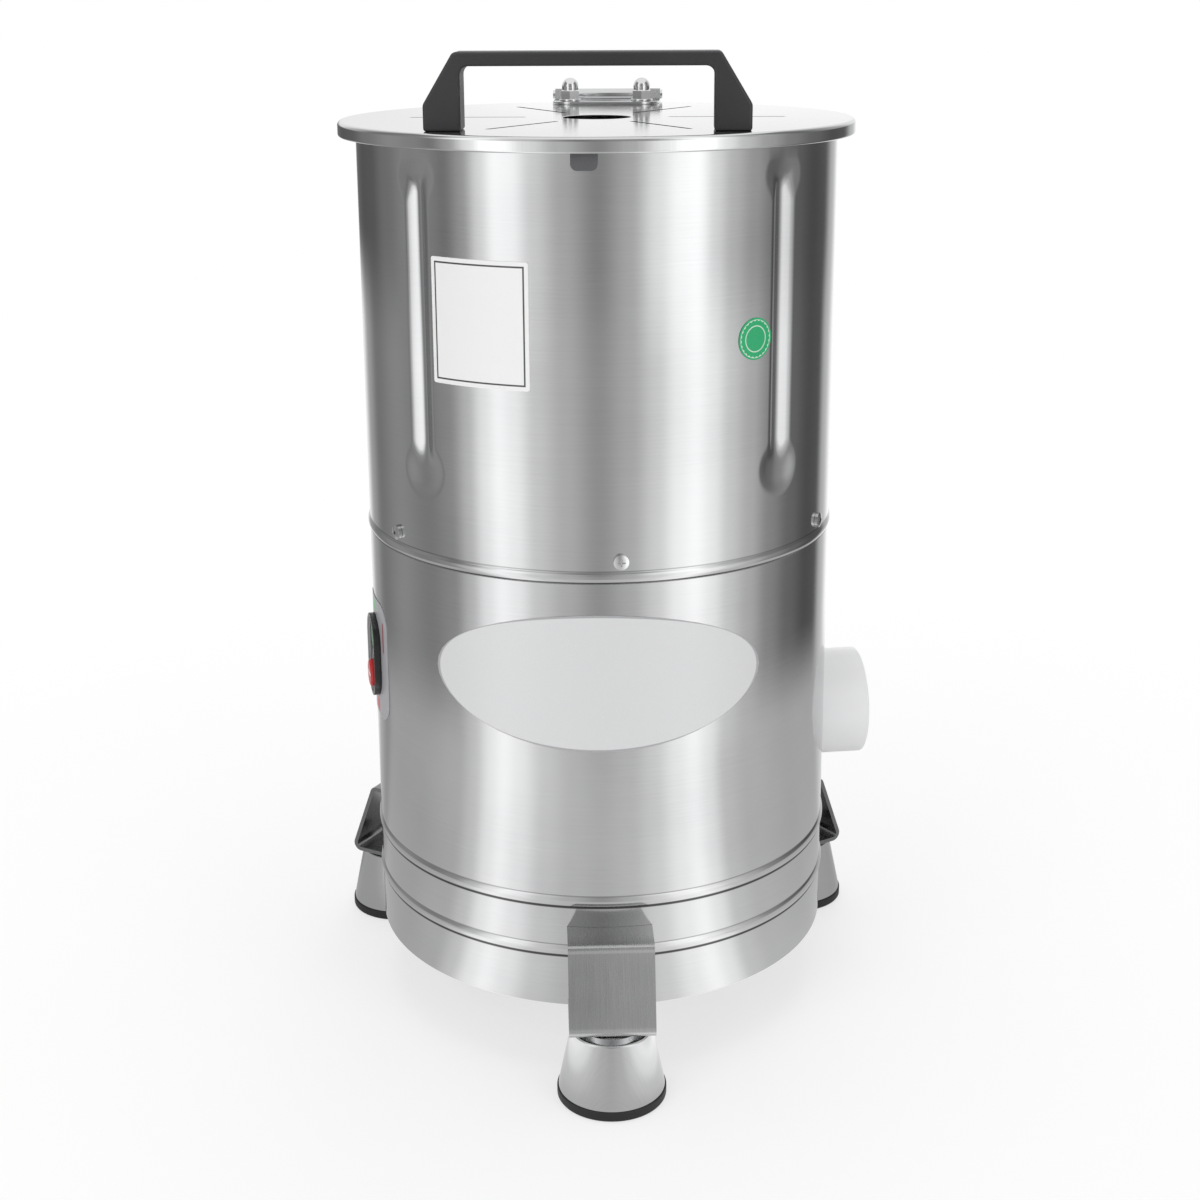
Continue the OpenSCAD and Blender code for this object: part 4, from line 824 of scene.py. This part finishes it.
def makeLid(look):
    sheet, radius, bend, hem = look["sheet"], look["radius"], look["shoulder"], look["hem"] / 2
    low = lidTop - sheet
    hemZ = lidTop - look["rim"] + hem
    quarter = math.pi / 2
    start, end = (math.radians(turn) for turn in look["hemTurns"])
    loop = [(look["hole"] + look["holeEdge"], lidTop), (look["hole"], lidTop - look["holeEdge"]),
            (look["hole"], low)]
    loop += moved(arc(bend - sheet, 0.0, quarter, 8), radius - bend, lidTop - bend)
    loop += [(radius - sheet, hemZ + hem * 0.6)]
    loop += moved(arc(hem, start, end, 14), radius - hem, hemZ)
    loop += [(radius, hemZ + hem * 0.2)]
    loop += moved(arc(bend, quarter, 0.0, 8), radius - bend, lidTop - bend)
    lid = makePiece("lidPlate", turned(loop, look["steps"]), "lidSteel", "lid_disc",
                    look["sharp"])
    round_ = lidSlots["wide"] / 2
    outline = [(lidSlots["near"] + round_ - x, y) for y, x in arc(round_, quarter, -quarter, 8)]
    outline += [(lidSlots["far"] - round_ + x, -y) for y, x in arc(round_, quarter, -quarter, 8)]
    cuts = []
    for k in range(lidSlots["count"]):
        put = outward(lidSlots["first"] + 360 * k / lidSlots["count"], 0.0)
        cuts.append(slab(outline, low - 2, lidTop + 2, lambda u, v, w: put(v, w, u)))
    cutOut(lid, cuts, look["sharp"])


def makeGrip(look):
    feet, top, inner, height = look["feet"], look["top"], look["inner"], look["height"]
    straight, under = look["straight"], height - look["bar"]
    wide, tight = look["bends"]
    outline = filleted(
        [(-feet, 0), (-feet, straight), (-top, height), (top, height), (feet, straight), (feet, 0),
         (inner, 0), (inner, under), (-inner, under), (-inner, 0)],
        [0, wide, tight, tight, wide, 0, 0, wide, wide, 0], 6)
    shape = slab(outline, -look["depth"] / 2, look["depth"] / 2,
                 lambda u, v, w: (axisX + u, axisY - look["out"] + w, lidTop + v))
    grip = makePiece("gripHandle", shape, "handlePlastic", "lid_handle")
    soft = grip.modifiers.new("softEdges", "BEVEL")
    soft.width, soft.segments, soft.limit_method = look["edge"] / 1000, 3, "ANGLE"
    soft.angle_limit = math.radians(look["edgeTurn"])


def makeNuts(look):
    (washer, thick), (hexagon, high), (dome, middle) = look["washer"], look["hex"], look["dome"]
    (inset, drop), steps = look["chamfer"], look["steps"]
    shapes = []
    for x, y in look["places"]:
        spot, low = (axisX + x, axisY + y), look["base"]
        top = low + thick
        shapes.append(turned(filleted([(0, low), (washer, low), (washer, top), (0, top)],
                                      [0, *look["edges"], 0], 3), steps, spot))
        shapes.append(turned([(0, top), (hexagon, top), (hexagon, top + high - drop),
                              (hexagon - inset, top + high), (0, top + high)], 6, spot))
        cap = moved(arc(dome, math.pi / 2, 0.0, 12), 0, top + middle)
        shapes.append(turned([(0, top), (dome, top), *cap[:-1], (0, top + middle + dome)],
                             steps, spot))
    makePiece("hingeCapNuts", joined(*shapes), "chromeSteel", "cap_nuts")


makeLid(lidLook)
makeGrip(gripLook)
makeNuts(nutLook)


# Feet and outlet, turned

footLook = {"top": (26.0, 47.5), "low": (34.5, 6.5), "sheet": 1.5, "hole": 5.5, "ring": 35.25,
            "ringInner": 27.3, "lip": (30.7, 9.5), "steps": 96,
            "coneEdges": (0, 1.0, 0.3, 0.3, 0.5, 0), "ringEdges": (0.5, 1.2, 0.9, 0, 0.4, 0.4)}
pipeLook = {"outer": 37.5, "inner": 34.5, "from": 138.0, "to": 187.0, "edge": 1.4, "steps": 128,
            "sharp": 40.0}


def makeFeet(look):
    (topR, topZ), (lowR, lowZ), sheet = look["top"], look["low"], look["sheet"]
    cone = filleted([(look["hole"], topZ), (topR, topZ), (lowR, lowZ), (lowR - sheet, lowZ),
                     (topR - sheet - 0.1, topZ - sheet), (look["hole"], topZ - sheet)],
                    look["coneEdges"], 4)
    ring = filleted([(look["ringInner"], 0), (look["ring"], 0), (look["ring"], lowZ),
                     (look["lip"][0], lowZ), look["lip"], (look["ringInner"], look["lip"][1])],
                    look["ringEdges"], 4)
    for side in ("front", "left", "right"):
        low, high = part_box("ring_" + side)
        spot = ((low[0] + high[0]) * 500, (low[1] + high[1]) * 500)  # the ring's middle
        for kind, loop, finish in (("cone", cone, "coneSteel"), ("ring", ring, "footRubber")):
            makePiece(kind + side.title(), turned(loop, look["steps"], spot), finish,
                      kind + "_" + side)


def makePipe(look):
    near, far, outer, inner = look["from"], look["to"], look["outer"], look["inner"]
    loop = filleted([(inner, near), (outer, near), (outer, far), (inner, far)],
                    [0, 0, look["edge"], look["edge"]], 6)
    points, faces = turned(loop, look["steps"], (0, 0))
    put = outward(**outletPlace)
    makePiece("outletPipe", ([put(*point) for point in points], faces), "whitePvc",
              "outlet_pipe", look["sharp"])


makeFeet(footLook)
makePipe(pipeLook)


# Screws by geometry nodes

class Tree(Nodes):
    def __init__(self, name, sizes):  # sizes are the names of the inputs with their types
        self.tree = bpy.data.node_groups.new(name, "GeometryNodeTree")
        self.tree.is_modifier = True
        face = self.tree.interface
        face.new_socket("Geometry", in_out="INPUT", socket_type="NodeSocketGeometry")
        face.new_socket("Geometry", in_out="OUTPUT", socket_type="NodeSocketGeometry")
        made = {key: face.new_socket(key, in_out="INPUT", socket_type="NodeSocket" + kind)
                for key, kind in sizes.items()}
        self.names = {key: socket.identifier for key, socket in made.items()}
        self.given = {socket.name: Signal(self, socket)
                      for socket in self.tree.nodes.new("NodeGroupInput").outputs}

    def ends(self, spots):  # makes the copies real and gives them their material
        real = self.node("GeometryNodeRealizeInstances", {}, {0: spots})
        dressed = self.node("GeometryNodeSetMaterial", {},
                            {"Geometry": real, "Material": self.given["Finish"]})
        self.node("NodeGroupOutput", {}, {0: dressed})

    def grow(self, seat, values):  # runs the tree on an object and keeps what it gives
        grown = seat.modifiers.new("grow", "NODES")
        grown.node_group = self.tree
        for key, value in values.items():
            grown[self.names[key]] = value
        plain = shownMesh(seat)
        seat.modifiers.remove(grown)
        seat.data = plain


def screwTree():
    tree = Tree("crossHeadScrews", {"Head Radius": "Float", "Head Height": "Float",
                                    "Recess Width": "Float", "Recess Depth": "Float",
                                    "Finish": "Material"})
    radius, height, width, depth, _ = (tree.given[key] for key in tree.names)
    ball = tree.node("GeometryNodeMeshUVSphere", {}, {"Segments": 28, "Rings": 14, "Radius": 1.0})
    dome = tree.node("GeometryNodeTransform", {},
                     {"Geometry": ball, "Scale": tree.vector(radius, radius, height)})
    x, y, z = tree.parts(tree.node("GeometryNodeInputPosition"))
    flat = tree.vector(x, y, z.most(0.0))
    head = tree.node("GeometryNodeSetPosition", {}, {"Geometry": dome, "Position": flat})
    reach = radius * 1.15  # across the head, as in a cross recess
    deep = depth * 2.0  # the bars' middles lie at the top of the head
    lift = tree.vector(0.0, 0.0, height)
    cross = []
    for wide, long in ((reach, width), (width, reach)):
        bar = tree.node("GeometryNodeMeshCube", {}, {"Size": tree.vector(wide, long, deep)})
        cross.append(tree.node("GeometryNodeTransform", {}, {"Geometry": bar,
                                                             "Translation": lift}))
    cut = tree.node("GeometryNodeMeshBoolean", {"operation": "DIFFERENCE", "solver": "EXACT"},
                    {0: head, 1: cross})
    facing = tree.node("GeometryNodeInputNamedAttribute", {"data_type": "FLOAT_VECTOR"},
                       {"Name": "facing"})
    aim = tree.node("FunctionNodeAlignRotationToVector", {"axis": "Z"}, {"Vector": facing})
    tree.ends(tree.node("GeometryNodeInstanceOnPoints", {},
                        {"Points": tree.given["Geometry"], "Instance": cut, "Rotation": aim}))
    return tree


# turns and heights of the heads, their distance from the axis, radius, height, recess width
# and depth; below is true where they look down
screwLook = {
    "jointScrewHeads": {"node": "drum_screws", "turns": [7.5 + 60 * k for k in range(6)],
                        "heights": (351.0,), "out": 157.55, "size": (4.8, 3.1, 1.3, 1.3),
                        "below": False},
    "bracketScrewHeads": {"node": "bracket_screws", "turns": (169.8, 190.2),
                          "heights": (575.3, 558.3), "out": 159.6, "size": (4.8, 3.1, 1.3, 1.3),
                          "below": False},
    "coverScrewHeads": {"node": "cover_screws", "turns": [40 + 90 * k for k in range(4)],
                        "heights": (52.5,), "out": 148.3, "size": (3.84, 2.48, 1.1, 1.0),
                        "below": True},
}


def makeScrews(looks):
    tree = screwTree()
    for name, look in looks.items():
        spots = [(math.radians(turn), z) for turn in look["turns"] for z in look["heights"]]
        mesh = meshOf(name, [around(a, look["out"], z) for a, z in spots], [])
        ways = [(0, 0, -1) if look["below"] else (math.sin(a), -math.cos(a), 0)
                for a, _ in spots]
        facing = mesh.attributes.new("facing", "FLOAT_VECTOR", "POINT")
        facing.data.foreach_set("vector", [v for way in ways for v in way])
        heads = placed(name, mesh)
        sizes = dict(zip(tree.names, (size / 1000 for size in look["size"])))
        tree.grow(heads, {**sizes, "Finish": finishes["fastenerSteel"]})
        settle(heads, look["node"], replaces=False)


makeScrews(screwLook)


# Copies of CAD parts with their edges taken off: edge width, then fold radius

softLook = {"hinge_bracket": (0.4, 1.0), "hinge_leaf": (0.3, 0.0), "lid_tab": (0.4, 0.0),
            "switch_body": (0.9, 0.0), "start_button": (0.7, 0.0),
            "stop_button": (0.7, 0.0), "cable_gland": (0.4, 0.0), "peeling_disc": (0.5, 0.0)}
# degrees of a joint between flat faces and of a corner; a fold is a long level edge, in metres
softLimits = {"flat": 0.6, "corner": 36.0, "foldLength": 0.03, "foldRise": 0.001}


def softened(name, edge, fold, limits):
    mesh = nodes[name].data.copy()
    mesh.materials.clear()
    mesh.materials.append(next(finishes[key] for key, names in wornBy.items() if name in names))
    shape = bmesh.new()
    shape.from_mesh(mesh)
    bmesh.ops.remove_doubles(shape, verts=shape.verts, dist=1e-6)
    bmesh.ops.dissolve_limit(shape, angle_limit=math.radians(limits["flat"]),
                             verts=shape.verts, edges=shape.edges)
    bmesh.ops.recalc_face_normals(shape, faces=shape.faces)
    for width, least, steps in ((fold, limits["foldLength"], 4), (edge, 0.0, 2)):
        edges = [e for e in shape.edges if len(e.link_faces) == 2 and e.calc_length() > least
                 and e.calc_face_angle(0.0) > math.radians(limits["corner"])]
        if least:
            edges = [e for e in edges
                     if abs(e.verts[0].co.z - e.verts[1].co.z) < limits["foldRise"]]
        if width and edges:
            bmesh.ops.bevel(shape, geom=edges, offset=width / 1000, segments=steps, profile=0.5,
                            affect="EDGES", clamp_overlap=True)
    for face in shape.faces:
        face.material_index = 0
    shape.to_mesh(mesh)
    shape.free()
    first, second = name.split("_")
    settle(placed(first + second.title() + "Soft", mesh), name)


for name, (edge, fold) in softLook.items():
    softened(name, edge, fold, softLimits)


# Grains on the abrasive layer

gritLook = {"Grains Per Area": 42000.0, "Smallest": 0.00035, "Largest": 0.00085,  # in metres
            "Seed": 7, "Finish": finishes["abrasiveGrit"]}


def gritTree():
    tree = Tree("abrasiveGrains", {"Grains Per Area": "Float", "Smallest": "Float",
                                   "Largest": "Float", "Seed": "Int", "Finish": "Material"})
    density, smallest, largest, seed, _ = (tree.given[key] for key in tree.names)
    level = tree.parts(tree.node("GeometryNodeInputNormal"))[2]
    # grains lie only where the pad faces up
    up = tree.node("FunctionNodeCompare", {"operation": "GREATER_THAN"}, {0: level, 1: 0.8})
    spread = tree.node("GeometryNodeDistributePointsOnFaces", {},
                       {"Mesh": tree.given["Geometry"], "Selection": up, "Density": density,
                        "Seed": seed})
    grain = tree.node("GeometryNodeMeshIcoSphere", {}, {"Radius": 1.0, "Subdivisions": 1})
    size = tree.node("FunctionNodeRandomValue", {"data_type": "FLOAT"},
                     {2: smallest, 3: largest, 8: seed}, 1)
    spin = tree.node("FunctionNodeRandomValue", {"data_type": "FLOAT_VECTOR"},
                     {0: (0.0, 0.0, 0.0), 1: (6.28, 6.28, 6.28), 8: seed})
    tree.ends(tree.node("GeometryNodeInstanceOnPoints", {},
                        {"Points": spread, "Instance": grain, "Rotation": spin, "Scale": size}))
    return tree


def makeGrit(look):
    grains = placed("padGrains", nodes["abrasive_pad"].data.copy())
    gritTree().grow(grains, look)
    settle(grains, "abrasive_pad", replaces=False)


makeGrit(gritLook)
